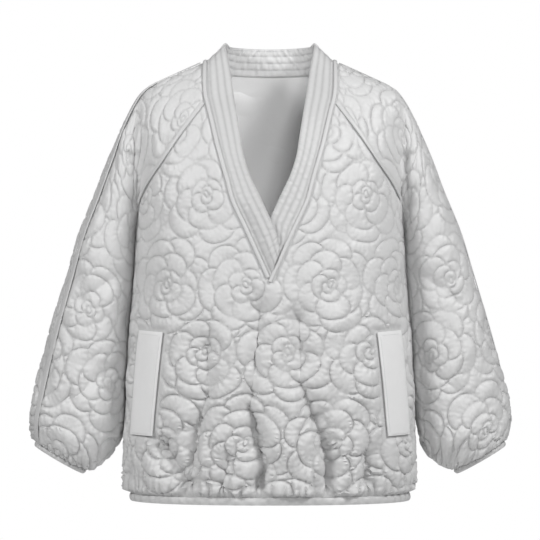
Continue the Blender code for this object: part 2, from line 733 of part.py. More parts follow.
def strip(name, points, normals, sizes, finish):
    """Flat tape that covers a seam, from the seam's own points moved out."""
    half_width, lift, thickness = sizes
    along = unit(np.gradient(points, axis=0))
    side = unit(np.cross(along, normals)) * half_width
    low, high = normals * lift, normals * (lift + thickness)
    sections = np.stack((points - side + low, points - side * STRIP_TOP + high,
                         points + side * STRIP_TOP + high, points + side + low), axis=1)
    return lofted(name, sections, finish)


def binding(name, ring, normals, down, height):
    """Narrow bound edge under a ring of points."""
    top = ring + down * SEAM_GAP
    bottom = ring + down * (SEAM_GAP + height)
    outer, inner = normals * BINDING_PROUD, normals * -(WALL + BINDING_PROUD)
    middle = (top + bottom) / 2 + normals * 2 * BINDING_PROUD
    return lofted(name, np.stack((top + outer, middle, bottom + outer, bottom + inner, top + inner), axis=1),
                  TRIM, closed=True)


# Pieces of the jacket

def side_name(side):
    return "right" if side == RIGHT else "left"


def torso_panel(facing, name, neck, discs, folds):
    """Front or back, from the hem up one side, over the neck and down the other."""
    surface = torso(facing, folds)
    hem_share = samples(-1, 1, 2 * HEM_GATHERS[0] + 1)
    hem = stack(hem_share * QUARTER, HEM)
    right, left = sleeves[RIGHT, facing], sleeves[LEFT, facing]
    up = stack(QUARTER, SIDE_HEIGHTS[1:-1])
    down = stack(-QUARTER, SIDE_HEIGHTS[-2:0:-1])
    point_l, cut_l, wall_l, _ = raglan(left, RAGLAN_STATIONS[::-1])
    point_r, cut_r, wall_r, _ = raglan(right, RAGLAN_STATIONS)
    loop = np.concatenate((hem, up, cut_l, neck, cut_r, down))
    first_l = len(hem) + len(up)
    first_r = first_l + len(cut_l) + len(neck)
    seams = ((first_l, point_l, wall_l), (first_r, point_r, wall_r))
    edge = (np.array((-QUARTER, HEM)), np.array((QUARTER, HEM)), np.array((0.0, 1.0)))
    welts = [welt_cut(side) for side in (RIGHT, LEFT)] if facing == FRONT else ()
    cloth(name, surface, loop, discs, SHELL, seams, (edge, HEM_GATHERS), welts, fold_points(folds, facing))
    return loop


def sleeve_panel(side, facing, seed):
    half = sleeves[side, facing]
    over = half.flat(ARM_STATIONS, np.zeros_like(ARM_STATIONS))
    cuff_shares = samples(0, 1, 2 * CUFF_GATHERS[0] + 1)
    cuff = half.flat(np.full_like(cuff_shares, CUFF_STATION), cuff_shares)[1:-1]
    under = half.flat(LOWER_STATIONS, np.ones_like(LOWER_STATIONS))[::-1]
    on_raglan = half.flat(RAGLAN_STATIONS, np.ones_like(RAGLAN_STATIONS))[-2::-1]
    neck = half.flat(np.zeros_like(NECK_TURNS), NECK_TURNS[::-1])[1:-1]
    loop = np.concatenate((over, cuff, under, on_raglan, neck))
    first = len(over) + len(cuff) + len(under) - 1
    stations = RAGLAN_STATIONS[::-1]
    _, _, _, wall = raglan(half, stations)
    flat = half.flat(stations, np.ones_like(stations))
    seams = ((first, half.surface(flat[:, 0], flat[:, 1])[0], wall),)
    end = half.down[-1]
    edge = (np.array((0.0, end)), np.array((half.girth[-1], end)), np.array((0.0, -1.0)))
    discs = bloom_discs(loop.min(axis=0), loop.max(axis=0), seed)
    name = f"sleeve_{'front' if facing == FRONT else 'back'}_{side_name(side)}"
    cloth(name, half.surface, loop, discs, SHELL, seams, (edge, CUFF_GATHERS))


def welt_cut(side):
    return np.array([(float(torso_across(np.array(side * x), np.array(z), FRONT)), z) for x, z in WELT])


def pocket_welt(side):
    """Slanted flat welt, from points of the front moved out."""
    corners = welt_cut(side)
    rows, columns = samples(0, 1, WELT_ROWS), samples(0, 1, WELT_COLUMNS)
    grid = np.array([[(corners[0] * (1 - c) + corners[1] * c) * (1 - r)
                      + (corners[3] * (1 - c) + corners[2] * c) * r for c in columns] for r in rows])
    point, normal = frame_at(torso(FRONT), grid[..., 0], grid[..., 1])
    top = point + normal * (WELT_LIFT + WELT_WALL)
    low = point + normal * WELT_LIFT
    lofted(f"pocket_welt_{side_name(side)}", np.concatenate((top, low[:, ::-1]), axis=1), TRIM)


def neck_seam(side, station):
    """Point and outward normal on the neck seam; stations run from the V to the centre back."""
    station = np.atleast_1d(station)
    points, normals = np.zeros((len(station), 3)), np.zeros((len(station), 3))
    for number, at in enumerate(station):
        if at <= BAND_V_TOP:
            surface, cut = torso(FRONT), v_cut(side, np.array((at,)))
        elif at <= BAND_SHOULDER:
            share = np.array((1 - (at - BAND_V_TOP) / 2,))
            surface, cut = sleeves[side, FRONT].surface, sleeves[side, FRONT].flat(np.zeros(1), share)
        elif at <= BAND_BACK_CORNER:
            share = np.array(((at - BAND_SHOULDER) / 2,))
            surface, cut = sleeves[side, BACK].surface, sleeves[side, BACK].flat(np.zeros(1), share)
        else:
            x = side * RAGLAN[BACK][0][0] * (BAND_CENTRE_BACK - at) / 2
            surface, cut = torso(BACK), back_neck_cut(np.array((x,)))
        point, normal = frame_at(surface, cut[:, 0], cut[:, 1])
        points[number], normals[number] = point[0], normal[0]
    return points, normals


def band_edge(side, station):
    """Free edge of the neck band."""
    rows = []
    for x, z in BAND_EDGE_FRONT:
        cut = torso_across(np.array(side * x), np.array(z), FRONT)
        rows.append(torso(FRONT)(cut, np.array(z))[0])
    rows += [np.array((side * x, y, z)) for x, y, z in BAND_EDGE_BACK]
    return smooth(np.arange(len(rows)), np.array(rows), station)


def band_profile():
    """Across the band: share of the width and height of the channels between their stitch rows."""
    share = samples(0, 1, 2 * BAND_CHANNELS + 1)
    return share, np.where(np.arange(len(share)) % 2, BAND_RIB, 0.0)


def band_rings(side, stations, lift, both_sides):
    """Rings across the band: out along the outer side, back along the inner side."""
    share, rib = band_profile()
    seam, normals = neck_seam(side, stations)
    edge = band_edge(side, stations)
    if not lift.any():
        reach = BAND_TUCK_WIDTH + (1 - BAND_TUCK_WIDTH) * ramp(stations, BAND_TUCK, BAND_TUCK_END)
        edge = seam + (edge - seam) * reach[:, None]
    across = unit(edge - seam)
    along = unit(np.gradient((seam + edge) / 2, axis=0))
    free = unit(np.cross(along, across))
    free *= np.sign((free * normals).sum(-1, keepdims=True))
    start = seam + across * (SEAM_GAP + BAND_POINT * (1 - ramp(stations, 0, 1)))[:, None]
    sections = []
    for ring in range(len(seam)):
        line = start[ring] + share[:, None] * (edge[ring] - start[ring])
        way = unit(normals[ring] * (1 - share[:, None]) + free[ring] * share[:, None])
        raised = lift[ring] * ramp(share, *BAND_LAP_WAY)
        outer = line + way * (raised + rib)[:, None]
        inner = line + way * (raised - BAND_WALL - rib * both_sides)[:, None]
        sections.append(np.concatenate((outer, (inner if both_sides else inner[::2])[::-1])))
    return np.array(sections)


def shorten(sections, end, gap):
    """First or last ring moved towards its neighbour."""
    beside = 1 if end == 0 else -2
    sections[end] += unit(sections[beside].mean(axis=0) - sections[end].mean(axis=0)) * gap


def front_band(side):
    """Band of one side of the V. The wearer's right side laps over the other, which ends tucked under it."""
    laps = side == RIGHT
    stations = samples(0, BAND_CENTRE_BACK, 2 * BAND_CENTRE_BACK + 1)
    lift = BAND_LAP * (1 - ramp(stations, BAND_LAP_TOP - 2, BAND_LAP_TOP)) * laps
    rings = band_rings(side, stations, lift, False)
    shown = rings[(stations <= BAND_SHOULDER) & (stations >= (0 if laps else BAND_TUCK))]
    shorten(shown, -1, SEAM_GAP)
    lofted(f"neck_band_{side_name(side)}", shown, TRIM)


def back_band():
    stations = samples(0, BAND_CENTRE_BACK, 2 * BAND_CENTRE_BACK + 1)
    right, left = (band_rings(side, stations, np.zeros_like(stations), True)[stations >= BAND_SHOULDER]
                   for side in (RIGHT, LEFT))
    rings = np.concatenate((right, left[-2::-1]))
    shorten(rings, 0, SEAM_GAP)
    shorten(rings, -1, SEAM_GAP)
    lofted("neck_band_back", rings, TRIM)


def neck_piping():
    for side in (RIGHT, LEFT):
        stations = samples(0, BAND_SHOULDER, 2 * BAND_SHOULDER + 1)
        points, normals = neck_seam(side, stations)
        points[-1] -= unit(points[-1] - points[-2]) * SEAM_GAP
        if side == RIGHT:
            points, normals = points[1:], normals[1:]
        strip(f"neck_piping_{side_name(side)}", points, normals, PIPING, TRIM)
    stations = samples(BAND_SHOULDER, BAND_CENTRE_BACK, 2 * (BAND_CENTRE_BACK - BAND_SHOULDER) + 1)
    right, left = neck_seam(RIGHT, stations), neck_seam(LEFT, stations)
    points, normals = (np.concatenate((right[part], left[part][-2::-1])) for part in range(2))
    points[0] += unit(points[1] - points[0]) * SEAM_GAP
    points[-1] += unit(points[-2] - points[-1]) * SEAM_GAP
    strip("neck_piping_back", points, normals, PIPING, TRIM)


def seam_strips(side):
    last = UNDERARM_STATION - STRIP_END
    clear = RAGLAN_STATIONS[(RAGLAN_STATIONS > STRIP_START) & (RAGLAN_STATIONS < last)]
    for facing in (FRONT, BACK):
        point, _, wall, _ = raglan(sleeves[side, facing], clear)
        name = f"raglan_strip_{'front' if facing == FRONT else 'back'}_{side_name(side)}"
        strip(name, point, wall, RAGLAN_STRIP, TRIM)
    stations = ARM_STATIONS[(ARM_STATIONS > STRIP_START) & (ARM_STATIONS < CUFF_STATION - OVERARM_END)]
    half = sleeves[side, FRONT]
    flat = half.flat(stations, np.zeros_like(stations))
    point, normal = frame_at(half.surface, flat[:, 0], flat[:, 1])
    strip(f"overarm_strip_{side_name(side)}", point, normal, OVERARM_STRIP, TRIM)


def hem_binding():
    share = samples(-1, 1, HEM_SAMPLES)
    rings = []
    for facing in (FRONT, BACK):
        across = share * QUARTER if facing == FRONT else -share * QUARTER
        rings.append([part[:-1] for part in frame_at(torso(facing), across, np.full_like(across, HEM))])
    points, normals = (np.concatenate((rings[0][part], rings[1][part])) for part in range(2))
    normals[:, 2] = 0
    binding("hem_binding", points, unit(normals), np.array((0.0, 0.0, -1.0)), BINDING_HEIGHT)


def cuff_binding(side):
    shares = samples(0, 1, CUFF_SAMPLES)
    rings = []
    for facing in (FRONT, BACK):
        half = sleeves[side, facing]
        turn = shares if facing == FRONT else shares[::-1]
        flat = half.flat(np.full_like(turn, CUFF_STATION), turn)
        rings.append(half.surface(flat[:, 0], flat[:, 1])[0][:-1])
    points = np.concatenate(rings)
    over, under = points[0], points[CUFF_SAMPLES - 1]
    down = unit(np.cross(under - over, np.array((0.0, 1.0, 0.0)))) * np.array((1.0, 0.0, 1.0))
    down = unit(down) * (-1 if down[2] > 0 else 1)
    centre = points.mean(axis=0)
    normals = points - centre
    normals = unit(normals - down * (normals @ down)[:, None])
    binding(f"cuff_binding_{side_name(side)}", points, normals, down, CUFF_BINDING_HEIGHT)


def back_lining(loop):
    """Smooth lining inside the back, a little smaller than the panel."""
    ahead = unit(np.roll(loop, -1, axis=0) - loop)
    behind = np.roll(ahead, 1, axis=0)
    into = unit(stack(-(ahead + behind)[:, 1], (ahead + behind)[:, 0]))
    cut = loop + into * LINING_MARGIN
    cut = cut[apart(cut, 2 * LINING_MARGIN)]
    cloth("back_lining", torso(BACK, BACK_FOLDS), cut, None, LINING, bends=fold_points(BACK_FOLDS, BACK),
          level=-LINING_INSET, wall=LINING_WALL, inside_step=LINING_STEP)


for old in list(bpy.data.objects):
    bpy.data.objects.remove(old, do_unlink=True)

collection = bpy.data.collections.new("quilted_lounge_jacket")
bpy.context.scene.collection.children.link(collection)
root = bpy.data.objects.new("quilted_lounge_jacket", None)
collection.objects.link(root)

sleeves = {(side, facing): Sleeve(side, facing) for side in (RIGHT, LEFT) for facing in (FRONT, BACK)}

front_neck = np.concatenate((v_cut(LEFT, V_STATIONS)[-2::-1], v_cut(RIGHT, V_STATIONS)[1:-1]))
torso_area = np.array(((-QUARTER, HEM), (QUARTER, NECK_DEPTH)))
torso_panel(FRONT, "front_panel", front_neck, bloom_discs(*torso_area, FRONT_SEED), FRONT_FOLDS)
back_neck = np.concatenate((back_neck_cut(BACK_NECK_X[1:]), back_neck_cut(-BACK_NECK_X[-2:0:-1])))
back_loop = torso_panel(BACK, "back_panel", back_neck, bloom_discs(*torso_area, BACK_SEED), BACK_FOLDS)
back_lining(back_loop)
for number, (side, facing) in enumerate(sleeves):
    sleeve_panel(side, facing, SLEEVE_SEED + number)
for side in (RIGHT, LEFT):
    front_band(side)
    seam_strips(side)
    pocket_welt(side)
    cuff_binding(side)
back_band()
neck_piping()
hem_binding()
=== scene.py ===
# %% [markdown]
# # Quilted lounge jacket
# A loose pullover of pale grey satin, quilted all over with round blooms. It has a wide stitched neck band
# that laps at the V, raglan sleeves, two slanted welt pockets, and elastic in the hem and the cuffs.
# The solids in the frame fix every size. Here each of them gets a finer piece of cloth in its place.

import math

import bmesh
import bpy
import numpy as np
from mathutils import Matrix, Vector, kdtree
from mathutils.geometry import delaunay_2d_cdt


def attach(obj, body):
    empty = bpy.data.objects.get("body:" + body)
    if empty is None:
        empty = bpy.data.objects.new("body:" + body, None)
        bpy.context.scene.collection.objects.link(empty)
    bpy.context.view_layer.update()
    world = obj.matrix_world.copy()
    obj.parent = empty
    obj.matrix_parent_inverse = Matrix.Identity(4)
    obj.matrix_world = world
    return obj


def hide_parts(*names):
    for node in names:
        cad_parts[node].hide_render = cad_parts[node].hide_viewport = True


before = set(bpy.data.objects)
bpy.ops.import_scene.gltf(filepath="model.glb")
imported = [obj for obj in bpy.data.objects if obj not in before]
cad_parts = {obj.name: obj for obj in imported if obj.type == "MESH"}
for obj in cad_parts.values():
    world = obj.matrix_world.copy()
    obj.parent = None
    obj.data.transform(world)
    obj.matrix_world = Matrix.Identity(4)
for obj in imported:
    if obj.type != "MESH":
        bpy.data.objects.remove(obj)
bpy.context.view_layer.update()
print("solids in the frame:", len(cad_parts))

# %% [markdown]
# ## Sizes
# A garment is easiest to steer from short tables: rings for the body, stations for the sleeve, and points
# on the seams. The values are in metres, with the origin in the middle of the neck at the height of the
# shoulder seams, and the front towards -Y. They are the ones that the solids were made from, so that the
# fine cloth lies where the solids are. Only the underarm seams run a few millimetres further in, to let the
# sleeves touch the sides.

# %% Tables of the cut
WALL = 0.003
SEAM_GAP = 0.0003
FRONT, BACK = -1, 1
RIGHT, LEFT = -1, 1
HEM = -0.668
UNDERARM = -0.240
NECK_DEPTH = -0.063
BACK_NECK_DIP = 0.002
BINDING_HEIGHT = 0.011
CUFF_BINDING_HEIGHT = 0.008
BINDING_PROUD = 0.0008
TORSO_SQUARENESS = 2.3
PROBE = 0.001

# Torso rings: height, half_width, front, back
TORSO = np.array((
    (-0.668, 0.2150, 0.124, 0.119),
    (-0.645, 0.2195, 0.131, 0.125),
    (-0.600, 0.2215, 0.137, 0.129),
    (-0.525, 0.2200, 0.141, 0.128),
    (-0.440, 0.2165, 0.141, 0.122),
    (-0.345, 0.2085, 0.137, 0.115),
    (-0.250, 0.2045, 0.130, 0.114),
    (-0.200, 0.2030, 0.124, 0.113),
    (-0.150, 0.2010, 0.112, 0.108),
    (-0.100, 0.1940, 0.090, 0.098),
    (-0.060, 0.1830, 0.064, 0.089),
    (-0.020, 0.1650, 0.030, 0.078),
    (0.010, 0.1500, 0.004, 0.068),
))
REFERENCE_RING = 6

# Edge of the V on the front: height, x
V_EDGE = np.array((
    (-0.342, 0.0000), (-0.300, 0.0190), (-0.260, 0.0372), (-0.2155, 0.0573), (-0.190, 0.0640),
    (-0.160, 0.0725), (-0.130, 0.0808), (-0.095, 0.0890), (-0.063, 0.0975),
))

# Raglan seams, from the neck to the underarm: x, height
RAGLAN = {
    FRONT: ((0.0975, -0.063), (0.131, -0.1085), (0.1635, -0.1565), (0.189, -0.195), (0.2005, -0.220)),
    BACK: ((0.060, -0.016), (0.098, -0.060), (0.138, -0.110), (0.175, -0.165), (0.198, -0.210)),
}

# Sleeve stations from the neck to the cuff: over_x, over_z, mid_y, front_reach, back_reach
SLEEVE = np.array((
    (0.1000, -0.002, 0.004, 0.020, 0.025),
    (0.1450, -0.022, 0.006, 0.045, 0.040),
    (0.1880, -0.043, 0.008, 0.055, 0.050),
    (0.2090, -0.066, 0.008, 0.060, 0.056),
    (0.2320, -0.112, 0.008, 0.066, 0.066),
    (0.2500, -0.154, 0.008, 0.074, 0.076),
    (0.2680, -0.202, 0.009, 0.080, 0.082),
    (0.2935, -0.264, 0.010, 0.084, 0.086),
    (0.3120, -0.324, 0.011, 0.086, 0.088),
    (0.3355, -0.402, 0.012, 0.088, 0.090),
    (0.3545, -0.471, 0.012, 0.088, 0.090),
    (0.3690, -0.532, 0.011, 0.086, 0.086),
    (0.3715, -0.557, 0.009, 0.080, 0.080),
    (0.3675, -0.578, 0.007, 0.062, 0.062),
    (0.3605, -0.589, 0.006, 0.046, 0.046),
))
UNDERARM_STATION = 5
CUFF_STATION = len(SLEEVE) - 1

# Underarm seam of the sleeve, stations after the underarm: x, height
SLEEVE_UNDER = (
    (0.2090, -0.266), (0.2112, -0.312), (0.2145, -0.366), (0.2203, -0.440), (0.2235, -0.513),
    (0.2295, -0.573), (0.2455, -0.607), (0.2695, -0.630), (0.2850, -0.632),
)
UNDERARM_CLEAR = 0.0012
UNDERARM_CLEAR_FROM = 3

# Way the sleeve leaves the raglan seam: off the chest (side, fore, up), its handle as a share of the chord,
# and the station from which the underarm's own way takes over
CHEST_WAY = (0.35, 0.85, 0.35)
CHEST_HANDLE = 0.32
CHEST_END = 2.6

# How far the overarm seam is turned to the front, as a share of the front curve
OVERARM_TURN = {RIGHT: 0.20, LEFT: 0.0}

# Free edge of the neck band, from the V to the back: x, y, height. The first rows lie on the front.
BAND_EDGE_FRONT = (
    (-0.0146, -0.2905), (-0.0122, -0.278), (-0.0075, -0.262), (0.0080, -0.2285), (0.0200, -0.2025),
    (0.031, -0.179), (0.040, -0.150), (0.0446, -0.121), (0.050, -0.088),
)
BAND_EDGE_BACK = (
    (0.0560, -0.0480, -0.052), (0.0610, -0.0240, -0.018), (0.0690, 0.0060, 0.026), (0.0620, 0.0450, 0.025),
    (0.0440, 0.0620, 0.024), (0.0220, 0.0680, 0.0232), (0.0, 0.0700, 0.0228),
)
BAND_SHOULDER = len(BAND_EDGE_FRONT) + 2
BAND_V_TOP = len(BAND_EDGE_FRONT)
BAND_CENTRE_BACK = len(BAND_EDGE_FRONT) + len(BAND_EDGE_BACK) - 1
BAND_BACK_CORNER = BAND_CENTRE_BACK - 2
BAND_CHANNELS = 4
BAND_RIB = 0.0014
BAND_WALL = 0.003
BAND_LAP = 0.0060
BAND_LAP_TOP = 5
BAND_TUCK = 1.6
BAND_TUCK_END = 2.6
BAND_TUCK_WIDTH = 0.55
BAND_LAP_WAY = (0.05, 0.60)

# Soft troughs seen from the front: x, height, to x, to height, depth, half width
FRONT_FOLDS = (
    (-0.016, -0.385, -0.030, -0.520, 0.007, 0.016),
    (-0.032, -0.530, -0.012, -0.618, 0.012, 0.012),
    (-0.012, -0.618, -0.018, -0.648, 0.014, 0.011),
    (0.046, -0.400, 0.049, -0.494, 0.007, 0.015),
    (0.049, -0.494, 0.069, -0.546, 0.009, 0.013),
    (0.069, -0.546, 0.092, -0.608, 0.012, 0.012),
    (0.092, -0.608, 0.089, -0.648, 0.014, 0.011),
    (0.150, -0.606, 0.147, -0.648, 0.008, 0.010),
    (-0.164, -0.590, -0.140, -0.629, 0.009, 0.012),
    (-0.140, -0.629, -0.122, -0.648, 0.009, 0.011),
    (-0.097, -0.440, -0.098, -0.510, 0.006, 0.017),
    (-0.098, -0.510, -0.117, -0.567, 0.009, 0.014),
    (-0.117, -0.567, -0.120, -0.620, 0.009, 0.012),
    (-0.066, -0.612, -0.072, -0.648, 0.007, 0.010),
)
BACK_FOLDS = (
    (-0.086, -0.520, -0.078, -0.648, 0.010, 0.013),
    (0.016, -0.560, 0.026, -0.648, 0.009, 0.012),
    (0.122, -0.530, 0.108, -0.645, 0.010, 0.013),
)
SLEEVE_FOLDS = (
    (0.206, -0.075, 0.212, -0.150, 0.008, 0.012),
    (0.211, -0.150, 0.213, -0.222, 0.016, 0.012),
    (0.232, -0.330, 0.290, -0.372, 0.005, 0.012),
    (0.240, -0.470, 0.300, -0.520, 0.005, 0.012),
)
FOLD_SEAM_FADE = (0.016, 0.036)

# Where a sleeve lies against the torso and presses the quilting: x, its spread, spread in y, share pressed
PRESSED = (0.214, 0.016, 0.034, 0.85)
PRESSED_FROM = (-0.12, -0.20)
PRESSED_TO = (-0.640, -0.600)

# Gathers at the elastic edges: waves across one panel, height, length over which they fade
HEM_GATHERS = (32, 0.0032, 0.020)
CUFF_GATHERS = (10, 0.0032, 0.030)

# A quilted bloom: its radius, the spacing of its rows, and how it is shifted and turned
BLOOM_RADIUS = 0.054
BLOOM_PITCH = (0.124, 0.119)
FRONT_SEED, BACK_SEED, SLEEVE_SEED = 3, 5, 11
BLOOM_ROW_SHIFT = 0.009
BLOOM_TURN = 0.7
BLOOM_RING_TURN = 0.5
EDGE_PLAIN = 0.004
EDGE_FADE = 0.014

# Pocket welts seen from the front, from the top outer corner: x, height
WELT = ((0.1964, -0.416), (0.1609, -0.4185), (0.1769, -0.576), (0.2103, -0.575))
WELT_LIFT = 0.0024
WELT_WALL = 0.0028
WELT_FADE = 0.012

# Strips along seams: half width, lift, thickness
RAGLAN_STRIP = (0.0032, 0.0018, 0.0012)
OVERARM_STRIP = (0.0055, 0.0016, 0.0012)
PIPING = (0.0030, 0.0022, 0.0022)
STRIP_START = 0.15
STRIP_END = 0.9
OVERARM_END = 0.1

LINING_INSET = 0.0100
LINING_WALL = 0.001
LINING_STEP = 0.008

# %% [markdown]
# ## Two surfaces carry all the cloth
# Every panel is drawn flat, as a cutter would, and then laid on a surface: the torso, a stack of rounded
# rings, or a sleeve, a stack of curves from the overarm seam to the underarm. A flat drawing keeps the
# quilting at its true size, and the surface gives the form that a wearer would. The alternative, sculpting
# each panel in place, would lose both the sizes and the shared seams.

# %% Curves and small tools
FOLD_POWER = 1.4


def smooth(knots, values, at):
    """Cubic through the rows of a table whose knots ascend."""
    knots = np.asarray(knots, float)
    values = np.asarray(values, float)
    at = np.clip(np.asarray(at, float), knots[0], knots[-1])
    slopes = np.gradient(values, knots, axis=0)
    cell = np.clip(np.searchsorted(knots, at) - 1, 0, len(knots) - 2)
    width = knots[cell + 1] - knots[cell]
    share = (at - knots[cell]) / width
    if values.ndim > 1:
        width, share = width[..., None], share[..., None]
    rest = 1 - share
    return ((1 + 2 * share) * rest ** 2 * values[cell] + share ** 2 * (3 - 2 * share) * values[cell + 1]
            + share * rest ** 2 * width * slopes[cell] - share ** 2 * rest * width * slopes[cell + 1])


def ramp(value, start, end):
    """0 before start, 1 after end, with soft ends."""
    share = np.clip((value - start) / (end - start), 0, 1)
    return share * share * (3 - 2 * share)


def unit(vectors):
    return vectors / np.maximum(np.linalg.norm(vectors, axis=-1, keepdims=True), 1e-12)


def stack(*columns):
    return np.stack(np.broadcast_arrays(*columns), axis=-1).astype(float)


def segment_distance(points, start, end):
    """Distance to a straight segment."""
    line = np.asarray(end, float) - np.asarray(start, float)
    share = np.clip(((points - start) @ line) / (line @ line), 0, 1)
    return np.linalg.norm(points - (start + share[..., None] * line), axis=-1)


def trough(x, z, folds):
    """Depth of the folds at points seen from the front: a crease at the bottom, with soft shoulders."""
    points = stack(x, z)
    depth = np.zeros(points.shape[:-1])
    for x0, z0, x1, z1, deep, half_width in folds:
        distance = segment_distance(points, np.array((x0, z0)), np.array((x1, z1)))
        depth = np.maximum(depth, deep * np.exp(-(distance / half_width) ** FOLD_POWER))
    return depth


print("small tools ready")

# %% The torso
def ring_table():
    """Angle on the oval ring against the length along it, from the centre to the side."""
    angle = np.linspace(0, math.pi / 2, 400)
    half_width, front = TORSO[REFERENCE_RING, 1:3]
    x = half_width * np.sin(angle) ** (2 / TORSO_SQUARENESS)
    y = front * np.cos(angle) ** (2 / TORSO_SQUARENESS)
    return angle, np.concatenate(([0], np.cumsum(np.hypot(np.diff(x), np.diff(y)))))


RING_ANGLE, RING_LENGTH = ring_table()
QUARTER = RING_LENGTH[-1]


def torso_sizes(along, facing):
    half_width = smooth(TORSO[:, 0], TORSO[:, 1], along)
    depth = smooth(TORSO[:, 0], TORSO[:, 2 if facing == FRONT else 3], along)
    return half_width, depth


def torso_across(x, along, facing):
    """Length round the torso of a point seen from the front."""
    half_width, _ = torso_sizes(along, facing)
    angle = np.arcsin(np.clip(np.abs(x) / half_width, 0, 1) ** (TORSO_SQUARENESS / 2))
    return np.sign(x) * np.interp(angle, RING_ANGLE, RING_LENGTH)


def torso(facing, folds=()):
    """Surface of the front or the back: point and outward direction at (across, along)."""
    def surface(across, along):
        half_width, depth = torso_sizes(along, facing)
        angle = np.interp(np.abs(across), RING_LENGTH, RING_ANGLE)
        x = np.sign(across) * half_width * np.sin(angle) ** (2 / TORSO_SQUARENESS)
        y = facing * depth * np.cos(angle) ** (2 / TORSO_SQUARENESS)
        out = unit(stack(x / half_width ** 2, y / depth ** 2, np.zeros_like(x)))
        return stack(x, y, along) - out * trough(x, along, folds)[..., None], out
    return surface


def frame_at(surface, across, along):
    """Point and unit outward normal of a surface."""
    point, out = surface(across, along)
    by_across = surface(across + PROBE, along)[0] - surface(across - PROBE, along)[0]
    by_along = surface(across, along + PROBE)[0] - surface(across, along - PROBE)[0]
    normal = unit(np.cross(by_across, by_along))
    return point, normal * np.where((normal * out).sum(-1, keepdims=True) < 0, -1, 1)


print(f"a quarter of the way round the chest is {QUARTER:.3f} m")

# %% The sleeves
def under_points(side, facing):
    """Lower edge of the sleeve at each station: the raglan seam, then the underarm seam."""
    points = []
    for x, z in RAGLAN[facing]:
        across = torso_across(np.array(side * x), np.array(z), facing)
        points.append(torso(facing)(across, np.array(z))[0])
    half_width, _ = torso_sizes(UNDERARM, facing)
    points.append(np.array((side * half_width, 0.0, UNDERARM)))
    for (x, z), row in zip(SLEEVE_UNDER, SLEEVE[UNDERARM_STATION + 1:]):
        points.append(np.array((side * x, row[2], z)))
    return np.array(points)


